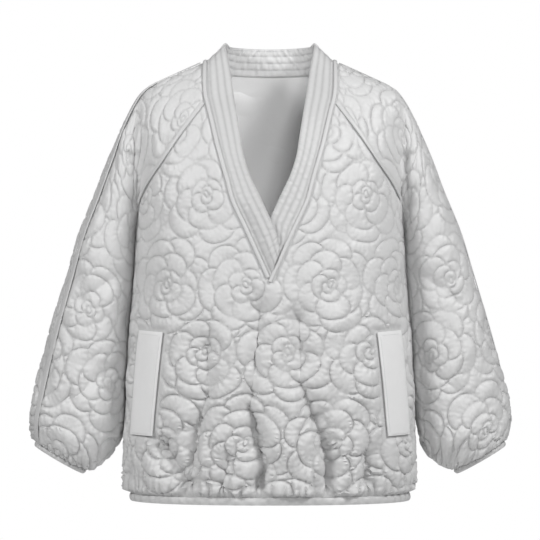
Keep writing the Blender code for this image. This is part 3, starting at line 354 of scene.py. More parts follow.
class Sleeve:
    """Front or back half of a sleeve, flat as (across from the overarm seam, along from the neck)."""

    ROWS = 71
    SHARES = 33
    FINE = 97

    def __init__(self, side, facing):
        self.side, self.facing = side, facing
        self.stations = np.arange(len(SLEEVE), dtype=float)
        self.under = {half: under_points(side, half) for half in (FRONT, BACK)}
        self.folds = [(side * x0, z0, side * x1, z1, deep, wide)
                      for x0, z0, x1, z1, deep, wide in SLEEVE_FOLDS]
        self.rows = np.linspace(0, CUFF_STATION, self.ROWS)
        fine = np.linspace(0, 1, self.FINE)
        grid = self.plain(*np.meshgrid(self.rows, fine, indexing="ij"))[0]
        run = np.linalg.norm(np.diff(grid, axis=1), axis=-1)
        length = np.concatenate((np.zeros((self.ROWS, 1)), np.cumsum(run, axis=1)), axis=1)
        self.girth = length[:, -1]
        shares = np.linspace(0, 1, self.SHARES)
        self.turns = np.array([np.interp(shares, row / row[-1], fine) for row in length])
        middle = grid[:, self.FINE // 2]
        self.down = np.concatenate(([0], np.cumsum(np.linalg.norm(np.diff(middle, axis=0), axis=-1))))

    def edge(self, station, facing):
        """Lower edge: the raglan seam down to the underarm, then the underarm seam."""
        turn = UNDERARM_STATION
        upper = smooth(self.stations[:turn + 1], self.under[facing][:turn + 1], station)
        lower = smooth(self.stations[turn:], self.under[facing][turn:], station)
        return np.where((np.asarray(station) <= turn)[..., None], upper, lower)

    def curve(self, station, turn, facing):
        """Plain sleeve: point and outward direction; turn is 0 at the outermost line, 1 under the arm."""
        row = smooth(self.stations, SLEEVE, station)
        over = stack(self.side * row[..., 0], row[..., 2], row[..., 1])
        under = self.edge(station, facing)
        under[..., 0] += self.side * UNDERARM_CLEAR * ramp(station, UNDERARM_CLEAR_FROM, UNDERARM_STATION)
        reach = row[..., 3 if facing == FRONT else 4][..., None]
        fore = np.array((0.0, facing, 0.0))
        chest = unit(np.array(CHEST_WAY) * (self.side, facing, 1))
        chord = over - under
        on_chest = unit(chord - chest * (chord @ chest)[..., None])
        past = ramp(station, CHEST_END, UNDERARM_STATION)[..., None]
        leave = unit(on_chest * (1 - past) + fore * past)
        handle = CHEST_HANDLE * np.linalg.norm(chord, axis=-1, keepdims=True) * (1 - past) + reach * past
        first = over + fore * reach
        last = under + leave * handle
        turn = turn[..., None]
        rest = 1 - turn
        point = (rest ** 3 * over + 3 * rest ** 2 * turn * first
                 + 3 * rest * turn ** 2 * last + turn ** 3 * under)
        middle = (over + under) / 2
        return stack(point, unit(point - middle + 1e-9))

    def plain(self, station, turn):
        """The same with turn 0 at the overarm seam, which may lie a little towards the front."""
        shift = OVERARM_TURN[self.side] * ramp(station, 0, UNDERARM_STATION)
        if self.facing == FRONT:
            both = self.curve(station, shift + (1 - shift) * turn, FRONT)
        else:
            turn = (1 + shift) * turn - shift
            before = self.curve(station, np.abs(turn), FRONT)
            both = np.where((turn < 0)[..., None, None], before, self.curve(station, np.abs(turn), BACK))
        return both[..., 0], both[..., 1]

    def place(self, across, along):
        """Station and turn of a point of the flat cut."""
        station = np.interp(along, self.down, self.rows)
        girth = np.interp(along, self.down, self.girth)
        share = np.clip(across / girth, 0, 1) * (self.SHARES - 1)
        row = station / CUFF_STATION * (self.ROWS - 1)
        r0 = np.clip(row.astype(int), 0, self.ROWS - 2)
        s0 = np.clip(share.astype(int), 0, self.SHARES - 2)
        dr, ds = row - r0, share - s0
        turn = ((self.turns[r0, s0] * (1 - ds) + self.turns[r0, s0 + 1] * ds) * (1 - dr)
                + (self.turns[r0 + 1, s0] * (1 - ds) + self.turns[r0 + 1, s0 + 1] * ds) * dr)
        return station, turn

    def surface(self, across, along):
        point, out = self.plain(*self.place(np.asarray(across, float), np.asarray(along, float)))
        y = point[..., 1]
        depth = trough(point[..., 0], point[..., 2], self.folds) * ramp(np.abs(y), *FOLD_SEAM_FADE)
        return point - stack(0.0, np.sign(y) * depth, 0.0), out

    def flat(self, station, share):
        """Flat cut of a station and a share of the way from the overarm to the lower edge."""
        along = np.interp(station, self.rows, self.down)
        return stack(share * np.interp(along, self.down, self.girth), along)


sleeves = {(side, facing): Sleeve(side, facing) for side in (RIGHT, LEFT) for facing in (FRONT, BACK)}
print(f"a sleeve is {sleeves[RIGHT, FRONT].down[-1]:.3f} m long from the neck to the cuff")

# %% [markdown]
# ## Seams
# Two panels that meet take the same points along their seam, so they can never gape or cross. The seam is
# sampled every few millimetres, which keeps the outline of the sleeves and of the V smooth.

# %% Points that several pieces share
def samples(start, end, count):
    return np.linspace(start, end, count)


SIDE_HEIGHTS = samples(HEM, UNDERARM, 130)
RAGLAN_STATIONS = samples(0, UNDERARM_STATION, 61)
ARM_STATIONS = np.concatenate((RAGLAN_STATIONS, samples(UNDERARM_STATION, CUFF_STATION, 121)[1:]))
LOWER_STATIONS = ARM_STATIONS[len(RAGLAN_STATIONS) - 1:]
NECK_TURNS = samples(0, 1, 33)
V_STATIONS = samples(0, BAND_V_TOP, 97)
BACK_NECK_X = samples(RAGLAN[BACK][0][0], 0, 25)
HEM_SAMPLES = 257
CUFF_SAMPLES = 81


def v_height(station):
    return np.interp(station, (0, BAND_V_TOP), (V_EDGE[0, 0], V_EDGE[-1, 0]))


def v_cut(side, station):
    """Flat cut on the front of the V edge."""
    z = v_height(station)
    x = side * np.maximum(smooth(V_EDGE[:, 0], V_EDGE[:, 1], z), 0)
    return stack(torso_across(x, z, FRONT), z)


def back_neck_cut(x):
    z = RAGLAN[BACK][0][1] - BACK_NECK_DIP * (1 - (np.abs(x) / RAGLAN[BACK][0][0]) ** 2)
    return stack(torso_across(x, z, BACK), z)


def raglan(sleeve, stations):
    """Points of a raglan seam, its flat cut on the torso, and the wall direction on either side of it."""
    point = sleeve.edge(stations, sleeve.facing)
    across = torso_across(point[:, 0], point[:, 2], sleeve.facing)
    across = np.where(stations >= UNDERARM_STATION, sleeve.side * QUARTER, across)
    cut = stack(across, point[:, 2])
    on_torso = frame_at(torso(sleeve.facing), cut[:, 0], cut[:, 1])[1]
    flat = sleeve.flat(stations, np.ones_like(stations))
    on_sleeve = frame_at(sleeve.surface, flat[:, 0], flat[:, 1])[1]
    shared = np.clip((on_torso * on_sleeve).sum(-1, keepdims=True), 0, 1)
    return point, cut, unit(on_torso + shared * on_sleeve), unit(on_sleeve + shared * on_torso)


def neck_seam(side, station):
    """Point and outward normal on the neck seam; stations run from the V to the centre back."""
    station = np.atleast_1d(station)
    points, normals = np.zeros((len(station), 3)), np.zeros((len(station), 3))
    for number, at in enumerate(station):
        if at <= BAND_V_TOP:
            surface, cut = torso(FRONT), v_cut(side, np.array((at,)))
        elif at <= BAND_SHOULDER:
            share = np.array((1 - (at - BAND_V_TOP) / 2,))
            surface, cut = sleeves[side, FRONT].surface, sleeves[side, FRONT].flat(np.zeros(1), share)
        elif at <= BAND_BACK_CORNER:
            share = np.array(((at - BAND_SHOULDER) / 2,))
            surface, cut = sleeves[side, BACK].surface, sleeves[side, BACK].flat(np.zeros(1), share)
        else:
            x = side * RAGLAN[BACK][0][0] * (BAND_CENTRE_BACK - at) / 2
            surface, cut = torso(BACK), back_neck_cut(np.array((x,)))
        point, normal = frame_at(surface, cut[:, 0], cut[:, 1])
        points[number], normals[number] = point[0], normal[0]
    return points, normals


def side_name(side):
    return "right" if side == RIGHT else "left"


def half_name(side, facing):
    return f"{'front' if facing == FRONT else 'back'}_{side_name(side)}"


print("points on one raglan seam:", len(RAGLAN_STATIONS))

# %% [markdown]
# ## Shader arithmetic
# A finish is a small sum: a colour, a little darker in the grooves, with a bump for the weave. Written as
# Python it can be read at a glance, so one class lets a socket take part in sums, and one method makes any
# other node from its type, its settings and the values of its sockets.

# %% A socket that takes part in sums
class Value:
    """An output socket in a material, for use with + - and *."""

    def __init__(self, finish, socket):
        self.finish, self.socket = finish, socket

    def sum(self, operation, first, second):
        return self.finish.node("ShaderNodeMath", {"operation": operation}, {0: first, 1: second})

    def __add__(self, other):
        return self.sum("ADD", self, other)

    def __radd__(self, other):
        return self.sum("ADD", other, self)

    def __sub__(self, other):
        return self.sum("SUBTRACT", self, other)

    def __rsub__(self, other):
        return self.sum("SUBTRACT", other, self)

    def __mul__(self, other):
        return self.sum("MULTIPLY", self, other)

    def __rmul__(self, other):
        return self.sum("MULTIPLY", other, self)


class Finish:
    """A material and its main shader."""

    def __init__(self, name, **constants):
        self.material = bpy.data.materials.new(name)
        self.material.use_nodes = True
        self.tree = self.material.node_tree
        self.shader = self.tree.nodes["Principled BSDF"]
        for socket, value in constants.items():
            self.shader.inputs[socket.replace("_", " ")].default_value = value

    def put(self, socket, value):
        if isinstance(value, Value):
            self.tree.links.new(value.socket, socket)
        else:
            socket.default_value = value

    def node(self, kind, settings, inputs, output=0):
        """Any node: its type, its settings, then the values or links of its sockets."""
        made = self.tree.nodes.new(kind)
        for setting, value in settings.items():
            setattr(made, setting, value)
        for socket, value in inputs.items():
            self.put(made.inputs[socket], value)
        return Value(self, made.outputs[output])

    def shade(self, socket, value):
        self.put(self.shader.inputs[socket], value)


print("shader arithmetic ready")

# %% [markdown]
# ## Finishes
# The shell is a satin weave: smooth, with a soft sheen. Its colour is painted darker in the stitched grooves
# and the gathered creases, as painted shade. Each panel carries a UV map that is its flat cut in metres, so
# the weave runs along the cloth and turns with it, and a painted shade value at each point, 1 on a stitch
# line.

# %% Satin shell, trim, lining and thread
COLOUR_DRIFT, ROUGH_DRIFT = 0.06, 0.10
WEAVE_PITCH = 0.0006
WAVE_PERIOD = math.tau / 20
CRUMPLE_SIZE = 60.0


def cloth_finish(name, grey, rough, painted_shade_strength, weave_depth, crumple):
    """Satin cloth: colour and roughness that drift a little, painted shade that darkens the grooves, a weave,
    and fine crumples.
    """
    finish = Finish(name, Specular_IOR_Level=0.42, Sheen_Weight=0.18, Sheen_Roughness=0.45)
    place = finish.node("ShaderNodeTexCoord", {}, {}, output=3)
    drift = finish.node("ShaderNodeTexNoise", {}, {"Vector": place, "Scale": 9.0, "Detail": 4.0})
    painted_shade = finish.node("ShaderNodeAttribute", {"attribute_name": "painted_shade"}, {}, output=2)
    # Painted shade: the colour is darkened along the stitch lines and in the creases of the gathers
    shade = (1 + COLOUR_DRIFT / 2 - COLOUR_DRIFT * drift) - painted_shade_strength * painted_shade
    colour = finish.node("ShaderNodeMix", {"data_type": "RGBA", "blend_type": "MULTIPLY"},
                         {0: 1.0, 6: (grey, grey, grey, 1.0), 7: shade}, output=2)
    finish.shade("Base Color", colour)
    finish.shade("Roughness", rough - ROUGH_DRIFT / 2 + ROUGH_DRIFT * drift)
    cut = finish.node("ShaderNodeUVMap", {"uv_map": "cut"}, {})
    warp, weft = (finish.node("ShaderNodeTexWave", {"bands_direction": way},
                              {"Vector": cut, "Scale": WAVE_PERIOD / WEAVE_PITCH}, output=1)
                  for way in ("X", "Y"))
    fine = finish.node("ShaderNodeTexNoise", {}, {"Vector": place, "Scale": CRUMPLE_SIZE, "Detail": 5.0})
    crumpled = finish.node("ShaderNodeBump", {}, {"Strength": 1.0, "Distance": crumple, "Height": fine})
    woven = finish.node("ShaderNodeBump", {}, {"Strength": 1.0, "Distance": weave_depth,
                                               "Height": warp * weft, "Normal": crumpled})
    finish.shade("Normal", woven)
    return finish.material


shell = cloth_finish("quilted_satin", 0.62, 0.40, 0.15, 0.00005, 0.0010)
trim = cloth_finish("plain_satin", 0.58, 0.36, 0.28, 0.00005, 0.0005)
# Painted light: the welts and the back band are the same satin as the trim, set paler so that they look more
# brightly lit
painted_light_trim = cloth_finish("satin_painted_light", 0.80, 0.36, 0.20, 0.00005, 0.0007)
# Painted light: the lining is the same grey satin as the shell, set near white to stand in for the light that
# reaches inside the neck
lining = cloth_finish("lining_satin", 0.97, 0.38, 0.0, 0.00003, 0.0004)
thread = cloth_finish("grey_thread", 0.60, 0.52, 0.0, 0.00002, 0.0002)
print("finishes:", [finish.name for finish in (shell, trim, painted_light_trim, lining, thread)])

# %% [markdown]
# ## The bloom pattern
# The quilting is a field of round blooms in staggered rows. A bloom is drawn as paper discs laid one over
# the next: leaves first, then outer petals, inner petals and a bud. Only what the discs above leave
# uncovered shows, so the stitch lines come out as overlapping petals. Every disc is a little oval and
# varies a little, from a fixed seed.

# %% Lay out the blooms
# Rings of a bloom, from the outside in: petals, ring and petal radius in shares of the bloom, how oval
LEAVES = (7, 0.92, 0.47, -0.10)
PETALS = ((6, 0.58, 0.42, -0.13), (4, 0.26, 0.26, -0.10), (2, 0.10, 0.155, -0.05), (1, 0.03, 0.085, 0.25))
DISC_DRIFT = (0.05, 0.12, 0.12, 0.08)
LINE_HIDDEN = 0.0004
PUFF_REACH = 0.045
FEWEST_SAMPLES = 6
OVAL_REACH = 1.3
DRIFT_SEED = 100


def bloom_discs(low, high, seed):
    """Petals over a flat cut, bottom first: x, y, radius, how oval, and which way it is long."""
    random = np.random.default_rng(seed)
    drift = np.random.default_rng(seed + DRIFT_SEED)
    shift = random.uniform(0, 1, 2) * BLOOM_PITCH
    blooms = []
    rows = np.arange(low[1] - shift[1] - BLOOM_PITCH[1], high[1] + BLOOM_PITCH[1], BLOOM_PITCH[1])
    for row, y in enumerate(rows):
        first = low[0] - shift[0] - BLOOM_PITCH[0] * (1 + row % 2 / 2)
        for x in np.arange(first, high[0] + BLOOM_PITCH[0], BLOOM_PITCH[0]):
            centre = (x, y + BLOOM_ROW_SHIFT * (1 if row % 2 else -1))
            blooms.append((*centre, random.uniform(-BLOOM_TURN, BLOOM_TURN)))
    discs = []
    for rings in ((LEAVES,), PETALS):
        for x, y, turn in blooms:
            for ring, (petals, reach, radius, oval) in enumerate(rings):
                for petal in range(petals):
                    vary = drift.uniform(-1, 1, 4) * DISC_DRIFT
                    angle = turn + ring * BLOOM_RING_TURN + math.tau * petal / petals + vary[2]
                    away = reach * (1 + vary[0]) * BLOOM_RADIUS
                    discs.append((x + away * math.cos(angle), y + away * math.sin(angle),
                                  radius * (1 + vary[1]) * BLOOM_RADIUS, oval + vary[3], angle))
    return np.array(discs)


def petal_gap(points, disc):
    """Distance outside a petal's edge, negative inside it, and the angle round its middle."""
    x, y, radius, oval, lean = disc.T
    across, up = points[..., 0] - x, points[..., 1] - y
    angle = np.arctan2(up, across)
    return np.hypot(across, up) - radius * (1 + oval * np.cos(2 * (angle - lean))), angle


def quilt_lines(points, discs):
    """Distance of flat points to the stitch line that bounds their petal, and the way along that line."""
    distance = np.full(len(points), PUFF_REACH)
    along = np.zeros(len(points))
    for number, disc in enumerate(discs):
        near = np.flatnonzero((np.abs(points - disc[:2]) < disc[2] + PUFF_REACH).all(axis=1))
        gap, angle = petal_gap(points[near], disc)
        shown = (gap < 0) | (gap < distance[near])
        near = near[shown]
        distance[near] = np.abs(gap[shown])
        along[near] = disc[2] * angle[shown] + number
    return distance, along


def stitch_samples(discs, spacing):
    """Points on the stitch lines that show, and the direction of the line there."""
    points, ways = [], []
    for number, (x, y, radius, oval, lean) in enumerate(discs):
        count = max(int(math.tau * radius / spacing), FEWEST_SAMPLES)
        angle = math.tau * (np.arange(count) + 0.5) / count
        reach = radius * (1 + oval * np.cos(2 * (angle - lean)))
        ring = stack(x + reach * np.cos(angle), y + reach * np.sin(angle))
        way = unit(np.roll(ring, -1, axis=0) - np.roll(ring, 1, axis=0))
        above = discs[number + 1:]
        above = above[np.hypot(above[:, 0] - x, above[:, 1] - y) < OVAL_REACH * (above[:, 2] + radius)]
        shown = (petal_gap(ring[:, None], above)[0] > LINE_HIDDEN).all(axis=1)
        points.append(ring[shown])
        ways.append(way[shown])
    return np.concatenate(points), np.concatenate(ways)


print("petals in one bloom:", LEAVES[0] + sum(ring[0] for ring in PETALS))

# %% [markdown]
# ## A quilted panel
# A panel is one wall of cloth. Its flat outline is filled with an even grid of points, with extra ones along
# the stitch lines so that the grooves come out crisp, and `delaunay_2d_cdt` joins them. Each point is then
# laid on the surface and raised: a puff that grows away from the stitches, small puckers across each line,
# soft ripples, and gathers beside the elastic. A simulation of the filling could do the same, but the puffs
# would move from run to run and the stitch lines would blur.

# %% Raise the quilting
GRID_STEP = 0.0026
LINE_STEP = 0.0024
LINE_CLEAR = 0.0013
EDGE_CLEAR = 0.0016
INSIDE_STEP = 0.012
PUFFS = ((0.0018, 0.0011), (0.0018, 0.0075))
# Share of the loft high on the jacket and low on it, and the heights between
LOFT, SLEEVE_LOFT = (0.75, 1.70), (0.75, 1.20)
LOFT_FROM, LOFT_TO = -0.28, -0.60
# Width over which the painted shade fades away from a stitch line
PAINTED_SHADE_WIDTH = 0.0011
PUCKER_HEIGHT, PUCKER_REACH = 0.0006, 0.0034
PUCKER_SPACING, PUCKER_DRIFT, PUCKER_UNEVEN = 0.0075, 0.031, 1.8
HEM_GAIN, CUFF_GAIN = (1.3, 1.6, 1.2), (1.2, 1.3, 0.65)
GATHER_POWER = 0.7
# How long the gathers are: the least share, what is added, and after how many waves it repeats
GATHER_LENGTHS = (0.75, 0.5, 3.7)
GATHER_RISE = 0.010
# Painted shade in the creases of the gathers, as a share of the shade on a stitch line
CREASE_SHADE = 1.5
EDGE_RISE = 0.010
# Swell that closes the gap where a sleeve lies against the torso
CONTACT_SWELL = 0.0045
RIPPLES = ((0.085, 0.0014), (0.042, 0.0006))
RIPPLE_WAVES = 9
RIPPLE_SPREAD = (0.7, 0.6)
GATHER_DRIFT = ((5, 0.30, 0.2), (11, 0.16, 0.7), (23, 0.07, 0.4))


def ripples(points, seed):
    """Soft uneven waves: a few plane waves of each size in mixed directions."""
    random = np.random.default_rng(seed)
    height = np.zeros(len(points))
    for size, deep in RIPPLES:
        for turn, phase, scale in random.uniform(0, 1, (RIPPLE_WAVES, 3)):
            length = size * (RIPPLE_SPREAD[0] + RIPPLE_SPREAD[1] * scale)
            way = np.array((math.cos(math.pi * turn), math.sin(math.pi * turn))) / length
            height += deep / math.sqrt(RIPPLE_WAVES) * np.cos(math.tau * (points @ way + phase))
    return height


def gather_height(points, edge, gathers):
    """Uneven pleats beside an elastic edge: their height, and how deep in a crease each point lies, for the
    painted shade there.
    """
    waves, height, fade = gathers
    start, end, inward = edge
    line = end - start
    share = ((points - start) @ line) / (line @ line)
    away = np.maximum((points - start) @ inward, 0)
    drift = sum(size * np.sin(math.tau * (count * share + phase)) for count, size, phase in GATHER_DRIFT)
    crest = np.abs(np.sin(math.pi * (waves * share + drift))) ** GATHER_POWER
    least, more, every = GATHER_LENGTHS
    length = fade * (least + more * np.abs(np.sin(math.tau * waves * share / every)))
    fading = np.exp(-away / length)
    return height * crest * fading, (1 - crest) * fading


def pressed(points):
    """Share of the swelling left where a sleeve lies against the torso."""
    side = np.abs(points[:, 0])
    x, spread_x, spread_y, share = PRESSED
    near = np.exp(-((side - x) / spread_x) ** 2 - (points[:, 1] / spread_y) ** 2)
    height = points[:, 2]
    return 1 - share * near * ramp(height, *PRESSED_TO) * ramp(height, *PRESSED_FROM)


def inset(points, normals, gap, turn):
    """Outline moved into the cloth by half a seam gap."""
    ahead = unit(np.roll(points, -1, axis=0) - points)
    behind = np.roll(ahead, 1, axis=0)
    into = turn * (unit(np.cross(normals, ahead)) + unit(np.cross(normals, behind)))
    square = np.maximum((into ** 2).sum(-1, keepdims=True), 0.5)
    return points + gap * 2 * into / square


def hexagon_points(low, high, step):
    rows = np.arange(low[1], high[1], step * math.sqrt(0.75))
    columns = np.arange(low[0], high[0], step)
    grid = np.stack(np.meshgrid(columns, rows), axis=-1)
    grid[1::2, :, 0] += step / 2
    return grid.reshape(-1, 2)


def inside(points, loop):
    """Whether flat points lie inside an outline."""
    within = np.zeros(len(points), bool)
    x, y = points.T
    for start, end in zip(loop, np.roll(loop, -1, axis=0)):
        if start[1] != end[1]:
            crossing = start[0] + (y - start[1]) / (end[1] - start[1]) * (end[0] - start[0])
            within ^= ((start[1] > y) != (end[1] > y)) & (x < crossing)
    return within


def triangulate(loop, inner):
    """Triangles of a flat cut: points, faces, and each point's number on the outline, or -1."""
    corners = [Vector(point) for point in np.concatenate((loop, inner))]
    points, _, faces, origin, _, _ = delaunay_2d_cdt(corners, [], [list(range(len(loop)))], 1, 1e-7)
    number = np.array([source[0] if source else -1 for source in origin])
    return np.array([tuple(point) for point in points]), faces, np.where(number < len(loop), number, -1)


print("quilting tools ready")

# %% Turn points and faces into a piece of cloth
SMOOTH_LIMIT = math.radians(50)


def add_piece(name, points, faces, cuts, finish, painted_shade=None):
    """A closed mesh, faces outwards, with its flat cut as a UV map and the painted shade of each point."""
    mesh = bpy.data.meshes.new(name)
    mesh.from_pydata(points.tolist(), [], faces)
    work = bmesh.new()
    work.from_mesh(mesh)
    bmesh.ops.recalc_face_normals(work, faces=work.faces)
    work.to_mesh(mesh)
    work.free()
    corner = np.zeros(len(mesh.loops), int)
    mesh.loops.foreach_get("vertex_index", corner)
    mesh.uv_layers.new(name="cut").data.foreach_set("uv", cuts[corner].astype(np.float32).ravel())
    values = np.zeros(len(points)) if painted_shade is None else painted_shade
    # Painted shade at each point, which the finishes read to darken the colour
    mesh.attributes.new("painted_shade", "FLOAT", "POINT").data.foreach_set("value", values.astype(np.float32))
    mesh.shade_smooth()
    mesh.set_sharp_from_angle(angle=SMOOTH_LIMIT)
    mesh.materials.append(finish)
    piece = bpy.data.objects.new(name, mesh)
    bpy.context.scene.collection.objects.link(piece)
    return piece


class Panel:
    """Cloth over a flat outline. seams holds (first corner, points, wall directions) for shared edges."""

    def __init__(self, surface, loop, seams=(), discs=None, gathers=None, welts=(), seed=0,
                 level=0.0, wall=WALL, loft=LOFT):
        self.surface, self.loop, self.discs = surface, np.asarray(loop, float), discs
        self.gathers, self.welts, self.seed = gathers, welts, seed
        self.level, self.wall, self.loft = level, wall, loft
        self.rim, self.rim_way = frame_at(surface, *self.loop.T)
        for first, points, ways in seams:
            self.rim[first:first + len(points)] = points
            self.rim_way[first:first + len(points)] = ways
        area = 0.5 * np.cross(self.loop, np.roll(self.loop, -1, axis=0)).sum()
        self.area = abs(area)
        self.rim = inset(self.rim, self.rim_way, SEAM_GAP / 2, np.sign(area) * self.handed())
        self.edges = kdtree.KDTree(2 * len(self.loop))
        for number, (point, after) in enumerate(zip(self.loop, np.roll(self.loop, -1, axis=0))):
            self.edges.insert((*point, 0.0), 2 * number)
            self.edges.insert((*(point + after) / 2, 0.0), 2 * number + 1)
        self.edges.balance()

    def handed(self):
        """1 where the flat cut is seen from outside, -1 where it is seen from inside."""
        middle = self.loop.mean(axis=0)[:, None]
        step = np.array(((PROBE,), (0.0,)))
        across = self.surface(*(middle + step))[0] - self.surface(*(middle - step))[0]
        along = self.surface(*(middle + step[::-1]))[0] - self.surface(*(middle - step[::-1]))[0]
        return np.sign((np.cross(across, along) * self.surface(*middle)[1]).sum())

    def edge_gap(self, flat):
        return np.array([self.edges.find((x, y, 0.0))[2] for x, y in flat.tolist()])

    def relief(self, flat, edge_gap):
        """Height above the surface, and the painted shade near the stitch lines and in the creases of the
        gathers.
        """
        if self.discs is None:
            height = ripples(flat, self.seed) * LINING_RIPPLE * ramp(edge_gap, 0, EDGE_FADE)
            return height, np.zeros(len(flat))
        distance, along = quilt_lines(flat, self.discs)
        near = distance / PUCKER_REACH
        uneven = PUCKER_UNEVEN * np.sin(math.tau * along / PUCKER_DRIFT)
        pucker = PUCKER_HEIGHT * np.sin(math.tau * along / PUCKER_SPACING + uneven) * near * np.exp(1 - near)
        height = pucker + sum(puff * (1 - np.exp(-distance / slope)) for puff, slope in PUFFS)
        free = ramp(edge_gap, 0, EDGE_RISE)
        for welt in self.welts:
            free = free * np.where(inside(flat, welt), 0, ramp(loop_gap(flat, welt), 0, WELT_FADE))
        height = (height + ripples(flat, self.seed)) * free
        # Painted shade, darkest on a stitch line
        painted_shade = np.exp(-distance / PAINTED_SHADE_WIDTH) * free
        if self.gathers:
            gathered, crease = gather_height(flat, *self.gathers)
            height = np.maximum(height, 0) + gathered * ramp(edge_gap, 0, GATHER_RISE)
            # Painted shade in the creases of the gathers
            painted_shade = np.maximum(painted_shade, CREASE_SHADE * crease)
        return height, painted_shade

    def lay(self, flat):
        """Points of the outer side, their normals and their painted shade."""
        edge_gap = self.edge_gap(flat)
        height, painted_shade = self.relief(flat, edge_gap)
        point, normal = frame_at(self.surface, *flat.T)
        high, low = self.loft
        loft = high + (low - high) * ramp(point[:, 2], LOFT_FROM, LOFT_TO)
        if self.discs is not None:
            free = pressed(point)
            height = height * loft * free + CONTACT_SWELL * (1 - free)
        return point + normal * (self.level + height)[:, None], normal, painted_shade

    def fill(self):
        """Points inside the outline: an even grid, and closer ones on the stitch lines."""
        low, high = self.loop.min(axis=0), self.loop.max(axis=0)
        if self.discs is None:
            grid = hexagon_points(low, high, LINING_STEP)
        else:
            grid = hexagon_points(low, high, GRID_STEP)
            grid = grid[quilt_lines(grid, self.discs)[0] > LINE_CLEAR]
            grid = np.concatenate((grid, stitch_samples(self.discs, LINE_STEP)[0]))
        grid = grid[inside(grid, self.loop)]
        return grid[self.edge_gap(grid) > EDGE_CLEAR]

    def build(self, name, finish):
        flat, faces, source = triangulate(self.loop, self.fill())
        outer, _, painted_shade = self.lay(flat)
        on_rim = source >= 0
        outer[on_rim] = (self.rim + self.level * self.rim_way)[source[on_rim]]
        sparse = hexagon_points(self.loop.min(axis=0), self.loop.max(axis=0), INSIDE_STEP)
        sparse = sparse[inside(sparse, self.loop)]
        sparse = sparse[self.edge_gap(sparse) > INSIDE_STEP / 4]
        flat_in, faces_in, source_in = triangulate(self.loop, sparse)
        inner, way_in = frame_at(self.surface, *flat_in.T)
        inner = inner + (self.level - self.wall) * way_in
        on_rim_in = source_in >= 0
        inner[on_rim_in] = (self.rim + (self.level - self.wall) * self.rim_way)[source_in[on_rim_in]]
        outer_at = {int(source[i]): int(i) for i in np.flatnonzero(on_rim)}
        inner_at = {int(source_in[i]): int(i) + len(outer) for i in np.flatnonzero(on_rim_in)}
        skins = list(faces) + [[corner + len(outer) for corner in reversed(face)] for face in faces_in]
        for corner in range(len(self.loop)):
            ahead = (corner + 1) % len(self.loop)
            skins.append((outer_at[corner], inner_at[corner], inner_at[ahead], outer_at[ahead]))
        cuts = np.concatenate((flat, flat_in))
        painted_shades = np.concatenate((painted_shade, np.zeros(len(inner))))
        piece = add_piece(name, np.concatenate((outer, inner)), skins, cuts, finish, painted_shades)
        print(f"{name}: {len(skins)} faces, {self.area:.3f} square metres of cloth")
        return piece


def loop_gap(points, loop):
    """Distance of flat points to an outline of a few corners."""
    sides = zip(loop, np.roll(loop, -1, axis=0))
    return np.min([segment_distance(points, start, end) for start, end in sides], axis=0)


print("panel class ready")

# %% [markdown]
# ## Front and back
# The front is one piece from side seam to side seam, with the V and the raglan edges cut out; the back is
# cut alike with a shallow neck. Soft troughs near the hem stand for the folds that the elastic draws in.

# %% Cut and quilt the torso
FOLD_GAIN = 2.4


def welt_cut(side):
    return np.array([(float(torso_across(np.array(side * x), np.array(z), FRONT)), z) for x, z in WELT])


def torso_panel(facing, neck, seed, folds):
    """Flat outline from the hem up one side, over the neck and down the other."""
    hem = stack(samples(-1, 1, HEM_SAMPLES) * QUARTER, HEM)
    up = stack(QUARTER, SIDE_HEIGHTS[1:-1])
    down = stack(-QUARTER, SIDE_HEIGHTS[-2:0:-1])
    point_l, cut_l, wall_l, _ = raglan(sleeves[LEFT, facing], RAGLAN_STATIONS[::-1])
    point_r, cut_r, wall_r, _ = raglan(sleeves[RIGHT, facing], RAGLAN_STATIONS)
    loop = np.concatenate((hem, up, cut_l, neck, cut_r, down))
    first_l = len(hem) + len(up)
    first_r = first_l + len(cut_l) + len(neck)
    edge = (np.array((-QUARTER, HEM)), np.array((QUARTER, HEM)), np.array((0.0, 1.0)))
    seams = ((first_l, point_l, wall_l), (first_r, point_r, wall_r))
    discs = bloom_discs((-QUARTER, HEM), (QUARTER, NECK_DEPTH), seed)
    gathers = (edge, np.multiply(HEM_GATHERS, HEM_GAIN))
    welts = [welt_cut(side) for side in (RIGHT, LEFT)] if facing == FRONT else ()
    return Panel(torso(facing, folds), loop, seams, discs, gathers, welts, seed)


def deeper(folds):
    return [(*ends, FOLD_GAIN * deep, half_width) for *ends, deep, half_width in folds]


front_neck = np.concatenate((v_cut(LEFT, V_STATIONS)[-2::-1], v_cut(RIGHT, V_STATIONS)[1:-1]))
back_neck = np.concatenate((back_neck_cut(BACK_NECK_X[1:]), back_neck_cut(-BACK_NECK_X[-2:0:-1])))
panels = {"front_panel": torso_panel(FRONT, front_neck, FRONT_SEED, deeper(FRONT_FOLDS)),
          "back_panel": torso_panel(BACK, back_neck, BACK_SEED, BACK_FOLDS)}
pieces = {name: panel.build(f"{name}_cloth", shell) for name, panel in panels.items()}

# %% [markdown]
# ## Sleeves
# A raglan sleeve runs from the neck to the cuff in two halves, which meet in an overarm and an underarm seam.
# Each half is cut flat beside its overarm seam, and its cuff end is gathered by elastic.

